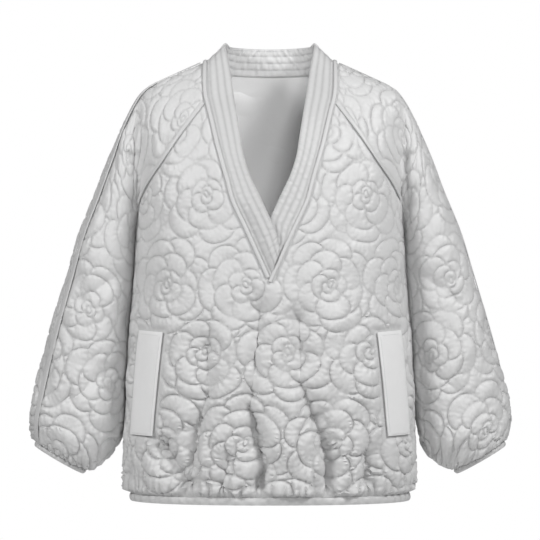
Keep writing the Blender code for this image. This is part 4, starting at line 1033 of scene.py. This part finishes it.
# %% Cut and quilt the sleeves
def sleeve_panel(side, facing, seed):
    half = sleeves[side, facing]
    over = half.flat(ARM_STATIONS, np.zeros_like(ARM_STATIONS))
    cuff_shares = samples(0, 1, CUFF_SAMPLES)
    cuff = half.flat(np.full_like(cuff_shares, CUFF_STATION), cuff_shares)[1:-1]
    under = half.flat(LOWER_STATIONS, np.ones_like(LOWER_STATIONS))[::-1]
    on_raglan = half.flat(RAGLAN_STATIONS, np.ones_like(RAGLAN_STATIONS))[-2::-1]
    neck = half.flat(np.zeros_like(NECK_TURNS), NECK_TURNS[::-1])[1:-1]
    loop = np.concatenate((over, cuff, under, on_raglan, neck))
    stations = RAGLAN_STATIONS[::-1]
    flat = half.flat(stations, np.ones_like(stations))
    seams = ((len(over) + len(cuff) + len(under) - 1, half.surface(*flat.T)[0], raglan(half, stations)[3]),)
    end = half.down[-1]
    edge = (np.array((0.0, end)), np.array((half.girth[-1], end)), np.array((0.0, -1.0)))
    discs = bloom_discs(loop.min(axis=0), loop.max(axis=0), seed)
    gathers = (edge, np.multiply(CUFF_GATHERS, CUFF_GAIN))
    return Panel(half.surface, loop, seams, discs, gathers, (), seed, loft=SLEEVE_LOFT)


for number, (side, facing) in enumerate(sleeves):
    node = f"sleeve_{half_name(side, facing)}"
    panels[node] = sleeve_panel(side, facing, SLEEVE_SEED + number)
    pieces[node] = panels[node].build(f"{node}_cloth", shell)

# %% [markdown]
# ## Lining
# Through the neck the inside of the back shows: a smooth lining that hangs in soft creases.

# %% Hang the lining
LINING_RIPPLE = 0.8
LINING_SEED = 7
LINING_GAP = 0.0015


def lining_cut(loop):
    """The back's outline, moved in all round."""
    ahead = unit(np.roll(loop, -1, axis=0) - loop)
    behind = np.roll(ahead, 1, axis=0)
    into = unit(stack(-(ahead + behind)[:, 1], (ahead + behind)[:, 0]))
    cut = loop + into * LINING_GAP
    kept = [0]
    for number in range(1, len(cut)):
        if np.hypot(*(cut[kept] - cut[number]).T).min() > LINING_STEP:
            kept.append(number)
    return cut[kept]


panels["back_lining"] = Panel(torso(BACK, BACK_FOLDS), lining_cut(panels["back_panel"].loop),
                              seed=LINING_SEED, level=-LINING_INSET, wall=LINING_WALL)
pieces["back_lining"] = panels["back_lining"].build("back_lining_cloth", lining)

# %% [markdown]
# ## Neck band
# The band is stitched in rows, which leaves padded channels between them. It is lofted: one section across
# the band, repeated along the neck seam. The wearer's right half laps over the left at the V. Behind the
# neck the band is gathered, so its channels pucker.

# %% Loft the neck band
CHANNEL_SAMPLES = 8
CHANNEL_POWER = 0.55
BAND_RINGS_PER_STATION = 14
RIB_SHARE = 0.45
BAND_UNDER = 0.0020
TUCK_FROM = 0.45
BAND_LAP_FADE = 2
ALMOST_ONE = 0.999
BAND_PUCKER = (0.0005, 0.0006)
BACK_BAND_PUCKER = (0.0004, 0.0013)
# Waves that add up to a pucker: length, share, shift from channel to channel
PUCKER_WAVES = ((0.0105, 0.50, 2.1), (0.0163, 0.40, 4.0), (0.0068, 0.30, 1.1))
flats = {}


def lofted(name, sections, finish, closed=False, painted_shade=None):
    """Cloth through rings of equal corner count."""
    sections = np.asarray(sections)
    rings, corners = sections.shape[:2]
    ring, corner = np.meshgrid(np.arange(rings if closed else rings - 1), np.arange(corners), indexing="ij")
    after, beside = (ring + 1) % rings, (corner + 1) % corners
    faces = np.stack((ring * corners + corner, ring * corners + beside,
                      after * corners + beside, after * corners + corner), axis=-1).reshape(-1, 4).tolist()
    if not closed:
        faces.append(list(range(corners)))
        faces.append([(rings - 1) * corners + corner for corner in reversed(range(corners))])
    steps = np.diff(sections, axis=1, prepend=sections[:, -1:])
    around = np.linalg.norm(steps, axis=-1).mean(axis=0).cumsum()
    forward = np.linalg.norm(np.diff(sections, axis=0, prepend=sections[:1]), axis=-1).mean(axis=1).cumsum()
    cuts = stack(*np.meshgrid(around, forward)).reshape(-1, 2)
    shade = None if painted_shade is None else np.broadcast_to(painted_shade, (rings, corners)).ravel()
    flats[name] = forward[-1] + (np.linalg.norm(sections[0] - sections[-1], axis=-1).mean() if closed else 0)
    return add_piece(f"{name}_cloth", sections.reshape(-1, 3), faces, cuts, finish, shade)


def band_edge(side, station):
    """Free edge of the neck band."""
    rows = []
    for x, z in BAND_EDGE_FRONT:
        cut = torso_across(np.array(side * x), np.array(z), FRONT)
        rows.append(torso(FRONT)(cut, np.array(z))[0])
    rows += [np.array((side * x, y, z)) for x, y, z in BAND_EDGE_BACK]
    return smooth(np.arange(len(rows)), np.array(rows), station)


def band_profile():
    """Across the band: share of the width, and how far up its channel each sample is."""
    share = samples(0, 1, CHANNEL_SAMPLES * BAND_CHANNELS + 1)
    return share, np.abs(np.sin(math.pi * BAND_CHANNELS * share)) ** CHANNEL_POWER


def band_lines(side, stations, laps):
    """Neck seam, free edge and their normals along the band."""
    seam, normals = neck_seam(side, stations)
    edge = band_edge(side, stations)
    if not laps:
        reach = BAND_TUCK_WIDTH + (1 - BAND_TUCK_WIDTH) * ramp(stations, BAND_TUCK, BAND_TUCK_END)
        edge = seam + (edge - seam) * reach[:, None]
    across = unit(edge - seam)
    free = unit(np.cross(unit(np.gradient((seam + edge) / 2, axis=0)), across))
    free *= np.sign((free * normals).sum(-1, keepdims=True))
    return seam - across * BAND_UNDER, edge, normals, free


def band_lift(stations, laps):
    """How far the lapping half stands off the other."""
    return BAND_LAP * (1 - ramp(stations, BAND_LAP_TOP - BAND_LAP_FADE, BAND_LAP_TOP)) * laps


def band_rings(side, stations, laps, pucker, both_sides):
    """Rings across the band: out along the outer side, back along the inner side."""
    share, channel = band_profile()
    seam, edge, normals, free = band_lines(side, stations, laps)
    line = seam[:, None] + share[None, :, None] * (edge - seam)[:, None]
    way = unit(normals[:, None] * (1 - share[None, :, None]) + free[:, None] * share[None, :, None])
    raised = band_lift(stations, laps)[:, None] * ramp(share, *BAND_LAP_WAY)
    run = np.concatenate(([0], np.cumsum(np.linalg.norm(np.diff(line[:, len(share) // 2], axis=0), axis=-1))))
    row = np.floor(share * BAND_CHANNELS * ALMOST_ONE)
    wave = sum(size * np.sin(math.tau * run[:, None] / length + shift * row)
               for length, size, shift in PUCKER_WAVES)
    rib = channel * (BAND_RIB * RIB_SHARE + (pucker[0] + (pucker[1] - pucker[0]) * share) * wave)
    outer = line + way * (raised + rib)[..., None]
    inner = line + way * (raised - BAND_WALL - (rib if both_sides else 0 * rib))[..., None]
    return np.concatenate((outer, inner[:, ::-1]), axis=1)


def shorten(sections, end, gap):
    """First or last ring moved towards its neighbour."""
    beside = 1 if end == 0 else -2
    sections[end] += unit(sections[beside].mean(axis=0) - sections[end].mean(axis=0)) * gap


# Painted shade in the band's channels: darker where the cloth dips to a stitch row
def band_painted_shade():
    share, channel = band_profile()
    return np.concatenate((1 - channel, 1 - channel))


band_stations = samples(0, BAND_CENTRE_BACK, BAND_RINGS_PER_STATION * BAND_CENTRE_BACK + 1)
for side in (RIGHT, LEFT):
    laps = side == RIGHT
    rings = band_rings(side, band_stations, laps, BAND_PUCKER, False)
    rings = rings[(band_stations <= BAND_SHOULDER) & (band_stations >= (0 if laps else TUCK_FROM))]
    shorten(rings, -1, SEAM_GAP)
    name = f"neck_band_{side_name(side)}"
    pieces[name] = lofted(name, rings, trim, painted_shade=band_painted_shade())
right, left = (band_rings(side, band_stations, False, BACK_BAND_PUCKER, True)[band_stations >= BAND_SHOULDER]
               for side in (RIGHT, LEFT))
rings = np.concatenate((right, left[-2::-1]))
shorten(rings, 0, SEAM_GAP)
shorten(rings, -1, SEAM_GAP)
pieces["neck_band_back"] = lofted("neck_band_back", rings, painted_light_trim, painted_shade=band_painted_shade())
print("neck band lengths:", {name: round(flats[name], 3) for name in flats})

# %% [markdown]
# ## Piping and seam strips
# A narrow folded strip outlines the neck band, and flat strips cover the raglan and overarm seams. Each is
# lofted along the seam's own points, moved out by a hair, so it lies on the cloth everywhere.

# %% Lay the piping and the strips
STRIP_SAMPLES = 9
STRIP_POWER = 0.45
STRIP_RAISES = {"raglan_strip": 0.0012, "overarm_strip_right": 0.0007}
PIPING_UNDER = 3
RAGLAN_RUN, OVERARM_RUN = 80, 220
strip_lines = {}


def strip(name, points, normals, sizes):
    """Tape over a seam, with rounded edges."""
    half_width, lift, thickness = sizes
    raised = next((height for word, height in STRIP_RAISES.items() if word in name), 0.0)
    points = points + normals * raised
    side = unit(np.cross(unit(np.gradient(points, axis=0)), normals))
    turn = samples(0, math.pi, STRIP_SAMPLES)
    across, rise = -np.cos(turn), np.sin(turn) ** STRIP_POWER
    sections = (points[:, None] + side[:, None] * half_width * across[None, :, None]
                + normals[:, None] * (lift + thickness * rise)[None, :, None])
    strip_lines[name] = (points, normals, side)
    pieces[name] = lofted(name, sections, trim)


for side in (RIGHT, LEFT):
    stations = samples(0, BAND_SHOULDER, BAND_RINGS_PER_STATION * BAND_SHOULDER + 1)
    points, normals = neck_seam(side, stations)
    points[-1] -= unit(points[-1] - points[-2]) * SEAM_GAP
    first = PIPING_UNDER if side == RIGHT else 0
    strip(f"neck_piping_{side_name(side)}", points[first:], normals[first:], PIPING)
    raglan_run = samples(STRIP_START, UNDERARM_STATION - STRIP_END, RAGLAN_RUN)
    for facing in (FRONT, BACK):
        point, _, wall, _ = raglan(sleeves[side, facing], raglan_run)
        strip(f"raglan_strip_{half_name(side, facing)}", point, wall, RAGLAN_STRIP)
    over_run = samples(STRIP_START, CUFF_STATION - OVERARM_END, OVERARM_RUN)
    half = sleeves[side, FRONT]
    point, normal = frame_at(half.surface, *half.flat(over_run, np.zeros_like(over_run)).T)
    strip(f"overarm_strip_{side_name(side)}", point, normal, OVERARM_STRIP)
back_rings = BAND_RINGS_PER_STATION * (BAND_CENTRE_BACK - BAND_SHOULDER) + 1
stations = samples(BAND_SHOULDER, BAND_CENTRE_BACK, back_rings)
halves = [neck_seam(side, stations) for side in (RIGHT, LEFT)]
points, normals = (np.concatenate((halves[0][part], halves[1][part][-2::-1])) for part in range(2))
points[0] += unit(points[1] - points[0]) * SEAM_GAP
points[-1] += unit(points[-2] - points[-1]) * SEAM_GAP
strip("neck_piping_back", points, normals, PIPING)
print("strips laid:", len(strip_lines))

# %% [markdown]
# ## Pocket welts
# A welt is a flat, folded strip of plain satin over the pocket mouth, which opens on its outer edge. It is
# a crowned plate made from points of the front, moved out.

# %% Shape the welts
WELT_GRID = (60, 17)
WELT_CROWN = 0.0012
WELT_EDGE_POWER, WELT_END_POWER = 0.35, 0.2


def welt_grid(side, rows, columns):
    """Points of the front under a welt, with their normals."""
    corners = welt_cut(side)
    down, across = samples(0, 1, rows)[:, None, None], samples(0, 1, columns)[None, :, None]
    flat = ((corners[0] * (1 - across) + corners[1] * across) * (1 - down)
            + (corners[3] * (1 - across) + corners[2] * across) * down)
    return frame_at(torso(FRONT), flat[..., 0], flat[..., 1])


for side in (RIGHT, LEFT):
    point, normal = welt_grid(side, *WELT_GRID)
    across = np.sin(math.pi * samples(0, 1, WELT_GRID[1])) ** WELT_EDGE_POWER
    ends = np.sin(math.pi * samples(0, 1, WELT_GRID[0])) ** WELT_END_POWER
    swell = WELT_CROWN * across[None, :] * ends[:, None]
    top = point + normal * (WELT_LIFT + WELT_WALL - WELT_CROWN / 2 + swell)[..., None]
    low = point + normal * WELT_LIFT
    name = f"pocket_welt_{side_name(side)}"
    pieces[name] = lofted(name, np.concatenate((top, low[:, ::-1]), axis=1), painted_light_trim)
    print(f"{name}: {flats[name]:.3f} m long")

# %% [markdown]
# ## Hem and cuff bindings
# Narrow bindings close the hem and the cuffs. Elastic inside draws them up, so their faces pucker.

# %% Bind the edges
BINDING_RINGS = 420
BINDING_PUCKER = 0.0006
BINDING_UNEVEN, BINDING_DRIFTS = 1.5, 7
CUFF_RINGS = 160
BINDING_PROFILE = ((0.0, 1.0), (0.10, 1.7), (0.30, 2.4), (0.50, 2.6), (0.70, 2.4), (0.90, 1.7), (1.0, 1.0))


def binding(name, ring, normals, down, height, waves):
    """Rounded edge under a ring of points: the profile gives share of the height and how proud it is."""
    turn = math.tau * np.arange(len(ring)) / len(ring)
    pucker = BINDING_PUCKER * np.sin(waves * turn + BINDING_UNEVEN * np.sin(BINDING_DRIFTS * turn))

    def level(share):
        return ring + down * (SEAM_GAP + share * height)

    outer = [level(share) + normals * (proud * BINDING_PROUD + pucker * (proud - 1))[:, None]
             for share, proud in BINDING_PROFILE]
    inner = [level(share) - normals * (WALL + BINDING_PROUD) for share in (1.0, 0.0)]
    pieces[name] = lofted(name, np.stack(outer + inner, axis=1), trim, closed=True)


around = samples(-1, 1, BINDING_RINGS // 2 + 1) * QUARTER
halves = [frame_at(torso(facing), -facing * around, np.full_like(around, HEM)) for facing in (FRONT, BACK)]
points, normals = (np.concatenate([half[part][:-1] for half in halves]) for part in range(2))
normals[:, 2] = 0
binding("hem_binding", points, unit(normals), np.array((0.0, 0.0, -1.0)), BINDING_HEIGHT, 2 * HEM_GATHERS[0])
for side in (RIGHT, LEFT):
    shares = samples(0, 1, CUFF_RINGS // 2 + 1)
    halves = []
    for facing in (FRONT, BACK):
        half = sleeves[side, facing]
        turn = shares if facing == FRONT else shares[::-1]
        halves.append(half.surface(*half.flat(np.full_like(turn, CUFF_STATION), turn).T)[0][:-1])
    points = np.concatenate(halves)
    down = unit(np.cross(points[CUFF_RINGS // 2] - points[0], np.array((0.0, side, 0.0))) * (1.0, 0.0, 1.0))
    down = down * (-1 if down[2] > 0 else 1)
    normals = points - points.mean(axis=0)
    normals = unit(normals - down * (normals @ down)[:, None])
    name = f"cuff_binding_{side_name(side)}"
    binding(name, points, normals, down, CUFF_BINDING_HEIGHT, 2 * CUFF_GATHERS[0])
print("bindings:", [name for name in pieces if "binding" in name])

# %% [markdown]
# ## Stitches
# Thousands of small stitches repeat one shape along many lines, which is what Geometry Nodes are for. Python
# gives one point for each stitch, with the way along the seam and the way out of the cloth, and the tree
# puts a grain of thread on each. The tree's inputs are the stitch's length and the thread's thickness.

# %% Build the stitch tree
def stitch_tree():
    tree = bpy.data.node_groups.new("row_of_stitches", "GeometryNodeTree")
    face = tree.interface
    face.new_socket("Points", in_out="INPUT", socket_type="NodeSocketGeometry")
    sizes = {"Length": 0.003, "Thickness": 0.0006}
    for name, value in sizes.items():
        face.new_socket(name, in_out="INPUT", socket_type="NodeSocketFloat").default_value = value
    for name in ("Sides", "Rings"):
        face.new_socket(name, in_out="INPUT", socket_type="NodeSocketInt").default_value = 4
    face.new_socket("Thread", in_out="INPUT", socket_type="NodeSocketMaterial")
    face.new_socket("Stitches", in_out="OUTPUT", socket_type="NodeSocketGeometry")

    def node(kind, settings=(), **inputs):
        made = tree.nodes.new(kind)
        for setting, value in dict(settings).items():
            setattr(made, setting, value)
        for socket, link in inputs.items():
            tree.links.new(link, made.inputs[socket.replace("_", " ")])
        return made.outputs[0]

    given = tree.nodes.new("NodeGroupInput").outputs
    along, out = (node("GeometryNodeInputNamedAttribute", {"data_type": "FLOAT_VECTOR"}) for _ in range(2))
    for attribute, name in ((along, "along"), (out, "out")):
        attribute.node.inputs["Name"].default_value = name
    turned = node("FunctionNodeAlignRotationToVector", {"axis": "X"}, Vector=along)
    turned = node("FunctionNodeAlignRotationToVector", {"axis": "Z", "pivot_axis": "X"},
                  Rotation=turned, Vector=out)
    size = node("ShaderNodeCombineXYZ", X=given["Length"], Y=given["Thickness"], Z=given["Thickness"])
    grain = node("GeometryNodeMeshUVSphere", Segments=given["Sides"], Rings=given["Rings"])
    grain.node.inputs["Radius"].default_value = 0.5
    points = node("GeometryNodeMeshToPoints", Mesh=given["Points"])
    placed = node("GeometryNodeInstanceOnPoints", Points=points, Instance=grain, Rotation=turned, Scale=size)
    real = node("GeometryNodeRealizeInstances", Geometry=placed)
    sewn = node("GeometryNodeSetMaterial", Geometry=real, Material=given["Thread"])
    tree.links.new(sewn, tree.nodes.new("NodeGroupOutput").inputs["Stitches"])
    return tree


stitch_nodes = stitch_tree()
print("stitch tree with", len(stitch_nodes.nodes), "nodes")

# %% Sew rows of stitches
TOPSTITCH = {"Length": 0.0026, "Thickness": 0.0007, "Sides": 6, "Rings": 4}
QUILT_STITCH = {"Length": 0.0028, "Thickness": 0.0006, "Sides": 4, "Rings": 2}
TOPSTITCH_SPACING = 0.0034
QUILT_SPACING = 0.0038
THREAD_SUNK = 0.00005
threads = {}


def sew(name, points, along, out, stitch):
    """One piece of thread: a stitch on each point."""
    mesh = bpy.data.meshes.new(name)
    mesh.from_pydata(points.tolist(), [], [])
    for attribute, vectors in (("along", along), ("out", out)):
        mesh.attributes.new(attribute, "FLOAT_VECTOR", "POINT").data.foreach_set(
            "vector", vectors.astype(np.float32).ravel())
    source = bpy.data.objects.new(f"{name}_points", mesh)
    bpy.context.scene.collection.objects.link(source)
    modifier = source.modifiers.new("stitches", "NODES")
    modifier.node_group = stitch_nodes
    inputs = {item.name: item.identifier for item in stitch_nodes.interface.items_tree
              if item.in_out == "INPUT"}
    for size, value in stitch.items():
        modifier[inputs[size]] = value
    modifier[inputs["Thread"]] = thread
    view = bpy.context.evaluated_depsgraph_get()
    sewn = bpy.data.meshes.new_from_object(source.evaluated_get(view), depsgraph=view)
    source.modifiers.remove(modifier)
    bpy.data.objects.remove(source, do_unlink=True)
    sewn.shade_smooth()
    piece = bpy.data.objects.new(name, sewn)
    bpy.context.scene.collection.objects.link(piece)
    threads[name] = piece
    print(f"{name}: {len(points)} stitches")
    return piece


def evenly(line, spacing, *others):
    """Points at even spacing along a line, their direction, and other values there."""
    run = np.concatenate(([0], np.cumsum(np.linalg.norm(np.diff(line, axis=0), axis=-1))))
    at = np.arange(spacing, run[-1] - spacing / 2, spacing)
    pick = [np.stack([np.interp(at, run, part) for part in values.T], axis=-1) for values in (line, *others)]
    return pick[0], unit(np.gradient(pick[0], axis=0)), *map(unit, pick[1:])


def sew_rows(name, rows):
    """Topstitching along several lines, each given with its normals."""
    parts = [evenly(line + ways * THREAD_SUNK, TOPSTITCH_SPACING, ways) for line, ways in rows]
    return sew(name, *(np.concatenate([part[number] for part in parts]) for number in range(3)), TOPSTITCH)


def sew_quilting(node):
    """Stitches in the grooves of a quilted panel."""
    panel = panels[node]
    flat, way = stitch_samples(panel.discs, QUILT_SPACING)
    kept = inside(flat, panel.loop)
    flat, way = flat[kept], way[kept]
    gap = panel.edge_gap(flat)
    clear = gap > EDGE_PLAIN
    for welt in panel.welts:
        clear &= ~inside(flat, welt)
    flat, way = flat[clear], way[clear]
    point, normal, _ = panel.lay(flat)
    ahead, behind = (frame_at(panel.surface, *(flat + sign * PROBE * way).T)[0] for sign in (1, -1))
    return sew(f"{node}_quilting", point + normal * THREAD_SUNK, unit(ahead - behind), normal, QUILT_STITCH)


for node in [name for name, panel in panels.items() if panel.discs is not None]:
    sew_quilting(node)

# %% Topstitch the trim
BAND_ROWS = (0.045, 0.25, 0.5, 0.75, 0.955)
STRIP_ROW, STRIP_ROW_RISE = 0.62, 0.9
BAND_ROW_FROM = 0.4
WELT_ROW_INSET, WELT_ROW_RISE = 2, 0.2


def band_row(side, stations, laps, share, inner):
    """A stitch row on the band, on its outer or its inner side."""
    seam, edge, normals, free = band_lines(side, stations, laps)
    lift = band_lift(stations, laps) * ramp(share, *BAND_LAP_WAY)
    way = unit(normals * (1 - share) + free * share)
    channel = abs(math.sin(math.pi * BAND_CHANNELS * share)) ** CHANNEL_POWER * BAND_RIB
    if inner:
        return seam + share * (edge - seam) + way * (lift - BAND_WALL - channel)[:, None], -way
    return seam + share * (edge - seam) + way * (lift + channel)[:, None], way


for side in (RIGHT, LEFT):
    laps = side == RIGHT
    first = BAND_ROW_FROM if laps else BAND_TUCK
    shown = band_stations[(band_stations <= BAND_SHOULDER) & (band_stations >= first)]
    rows = [band_row(side, shown, laps, share, False) for share in BAND_ROWS]
    sew_rows(f"neck_band_{side_name(side)}_rows", rows)
shown = band_stations[band_stations >= BAND_SHOULDER]
rows = []
for share in BAND_ROWS:
    for inner in (False, True):
        halves = [band_row(side, shown, False, share, inner) for side in (RIGHT, LEFT)]
        rows.append(tuple(np.concatenate((halves[0][part], halves[1][part][-2::-1])) for part in range(2)))
sew_rows("neck_band_back_rows", rows)
for name, (points, normals, side) in strip_lines.items():
    if "piping" not in name:
        half_width, lift, thickness = RAGLAN_STRIP if "raglan" in name else OVERARM_STRIP
        on_top = points + normals * (lift + thickness * STRIP_ROW_RISE)
        rows = [(on_top + side * half_width * share, normals) for share in (-STRIP_ROW, STRIP_ROW)]
        sew_rows(f"{name}_rows", rows)
for side in (RIGHT, LEFT):
    point, normal = welt_grid(side, *WELT_GRID)
    raised = point + normal * (WELT_LIFT + WELT_WALL + WELT_CROWN * WELT_ROW_RISE)
    edge = WELT_ROW_INSET
    between = slice(edge, -edge)
    rows = [(raised[row], normal[row]) for row in ((edge, between), (-edge, between), (between, -edge))]
    sew_rows(f"pocket_welt_{side_name(side)}_rows", rows)

# %% [markdown]
# ## Join the pieces to the frame
# Every piece takes the place of its solid and rides on the one body, and the flat cloth that it was cut from
# is printed. Threads ride on the same body as the piece that they are sewn to.

# %% Put each piece in place of its solid
SLOT_WORDS = {"quilted_shell": ("panel", "sleeve"), "lining": ("lining",)}
STRIP_WIDTHS = {"piping": 2 * PIPING[0], "raglan": 2 * RAGLAN_STRIP[0], "overarm": 2 * OVERARM_STRIP[0]}
BINDING_CUT, CUFF_BINDING_CUT, STRIP_CUT = 0.016, 0.013, 0.010
HELD = {"binding": "gathered", "band_back": "gathered", "strip": "laid", "welt": "laid", "piping": "laid"}


def slot_of(node):
    slots = (slot for slot, words in SLOT_WORDS.items() if any(word in node for word in words))
    return next(slots, "plain_trim")


def flat_cut(node):
    """Width, length and area of the flat cloth that a piece was cut from."""
    if node in panels:
        width, length = np.ptp(panels[node].loop, axis=0)
        return (width, length), panels[node].area
    if "band" in node:
        seam, edge, _, _ = band_lines(RIGHT, band_stations, True)
        return (float(np.linalg.norm(edge - seam, axis=-1).mean()), flats[node]), None
    if "welt" in node:
        corners = np.array(WELT)
        return (float(np.linalg.norm(corners[0] - corners[1])), flats[node]), None
    if "binding" in node:
        return (BINDING_CUT if "hem" in node else CUFF_BINDING_CUT, flats[node]), None
    wide = next(wide for word, wide in STRIP_WIDTHS.items() if word in node)
    return (max(wide, STRIP_CUT), flats[node]), None


for node, piece in pieces.items():
    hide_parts(node)
    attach(piece, "root")
    slot_of(node)
    sewn = [made for name, made in threads.items() if name in (f"{node}_quilting", f"{node}_rows")]
    for made in sewn:
        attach(made, "root")
        slot_of(node)
    flat, area = flat_cut(node)
    held = next((how for word, how in HELD.items() if word in node), "hung")
    print(f"{node}: cut {flat[0]:.3f} x {flat[1]:.3f} m, {held}")

# %% [markdown]
# ## Studio
# Soft light from the front right models the quilting, a weaker one fills the left, and a pale world lifts
# the shadows. The camera looks straight at the front through a long lens, which keeps the outline true.

# %% Light, floor and camera
FRAME_WIDTH = 0.837
CAMERA_AWAY = 4.6
CAMERA_HEIGHT = -0.324
FLOOR_HEIGHT = -1.38
FLOOR_SIZE, FLOOR_REACH = 3.2, 2.1
WALL_SHOWN, WALL_LIGHT = 1.0, 0.14
# Lamps: place, size, power
LAMPS = {
    "key": ((2.0, -1.8, 1.7), 1.0, 70.0),
    "left": ((-2.2, -1.7, 1.0), 0.8, 45.0),
    "fill": ((0.5, -3.5, 0.4), 0.7, 35.0),
    "back_key": ((-1.3, 3.0, 0.3), 0.8, 72.0),
    "back_fill": ((1.0, 3.2, 0.0), 1.2, 28.0),
}
LAMP_TARGET = Vector((0.0, 0.0, -0.30))


def lamp(name, place, size, power):
    light = bpy.data.lights.new(name, "AREA")
    light.energy, light.size = power, size
    holder = bpy.data.objects.new(name, light)
    holder.location = place
    holder.visible_glossy = "back" not in name
    holder.rotation_euler = (LAMP_TARGET - Vector(place)).to_track_quat("-Z", "Y").to_euler()
    bpy.context.scene.collection.objects.link(holder)


for name, facts in LAMPS.items():
    lamp(name, *facts)
world = bpy.data.worlds.new("pale_room")
world.use_nodes = True
room = world.node_tree
shown_wall, lit_wall = room.nodes["Background"], room.nodes.new("ShaderNodeBackground")
for wall, strength in ((shown_wall, WALL_SHOWN), (lit_wall, WALL_LIGHT)):
    wall.inputs["Color"].default_value = (1.0, 1.0, 1.0, 1.0)
    wall.inputs["Strength"].default_value = strength
pick, ray = room.nodes.new("ShaderNodeMixShader"), room.nodes.new("ShaderNodeLightPath")
room.links.new(ray.outputs["Is Camera Ray"], pick.inputs["Fac"])
room.links.new(lit_wall.outputs[0], pick.inputs[1])
room.links.new(shown_wall.outputs[0], pick.inputs[2])
room.links.new(pick.outputs[0], room.nodes["World Output"].inputs["Surface"])
bpy.context.scene.world = world
floor_mesh = bpy.data.meshes.new("floor")
corner = FLOOR_SIZE / 2
square = ((-corner, -corner), (corner, -corner), (corner, corner), (-corner, corner))
floor_mesh.from_pydata([(x, y, FLOOR_HEIGHT) for x, y in square], [], [(0, 1, 2, 3)])
floor_finish = Finish("pale_floor", Base_Color=(0.82, 0.82, 0.82, 1.0), Roughness=0.8)
away = floor_finish.node("ShaderNodeVectorMath", {"operation": "LENGTH"},
                         {0: floor_finish.node("ShaderNodeTexCoord", {}, {}, output=3)}, output=1)
floor_finish.shade("Alpha", floor_finish.node("ShaderNodeMapRange", {"interpolation_type": "SMOOTHSTEP"}, {
    "Value": away, "From Min": -FLOOR_HEIGHT, "From Max": FLOOR_REACH, "To Min": 1.0, "To Max": 0.0}))
floor_mesh.materials.append(floor_finish.material)
floor = bpy.data.objects.new("floor", floor_mesh)
bpy.context.scene.collection.objects.link(floor)
camera = bpy.data.objects.new("camera", bpy.data.cameras.new("camera"))
camera.location = (0.0, -CAMERA_AWAY, CAMERA_HEIGHT)
camera.rotation_euler = (math.pi / 2, 0.0, 0.0)
camera.data.lens = camera.data.sensor_width * CAMERA_AWAY / FRAME_WIDTH
bpy.context.scene.collection.objects.link(camera)
bpy.context.scene.camera = camera
bpy.context.scene.view_settings.view_transform = "Standard"
print(f"lens {camera.data.lens:.0f} mm")
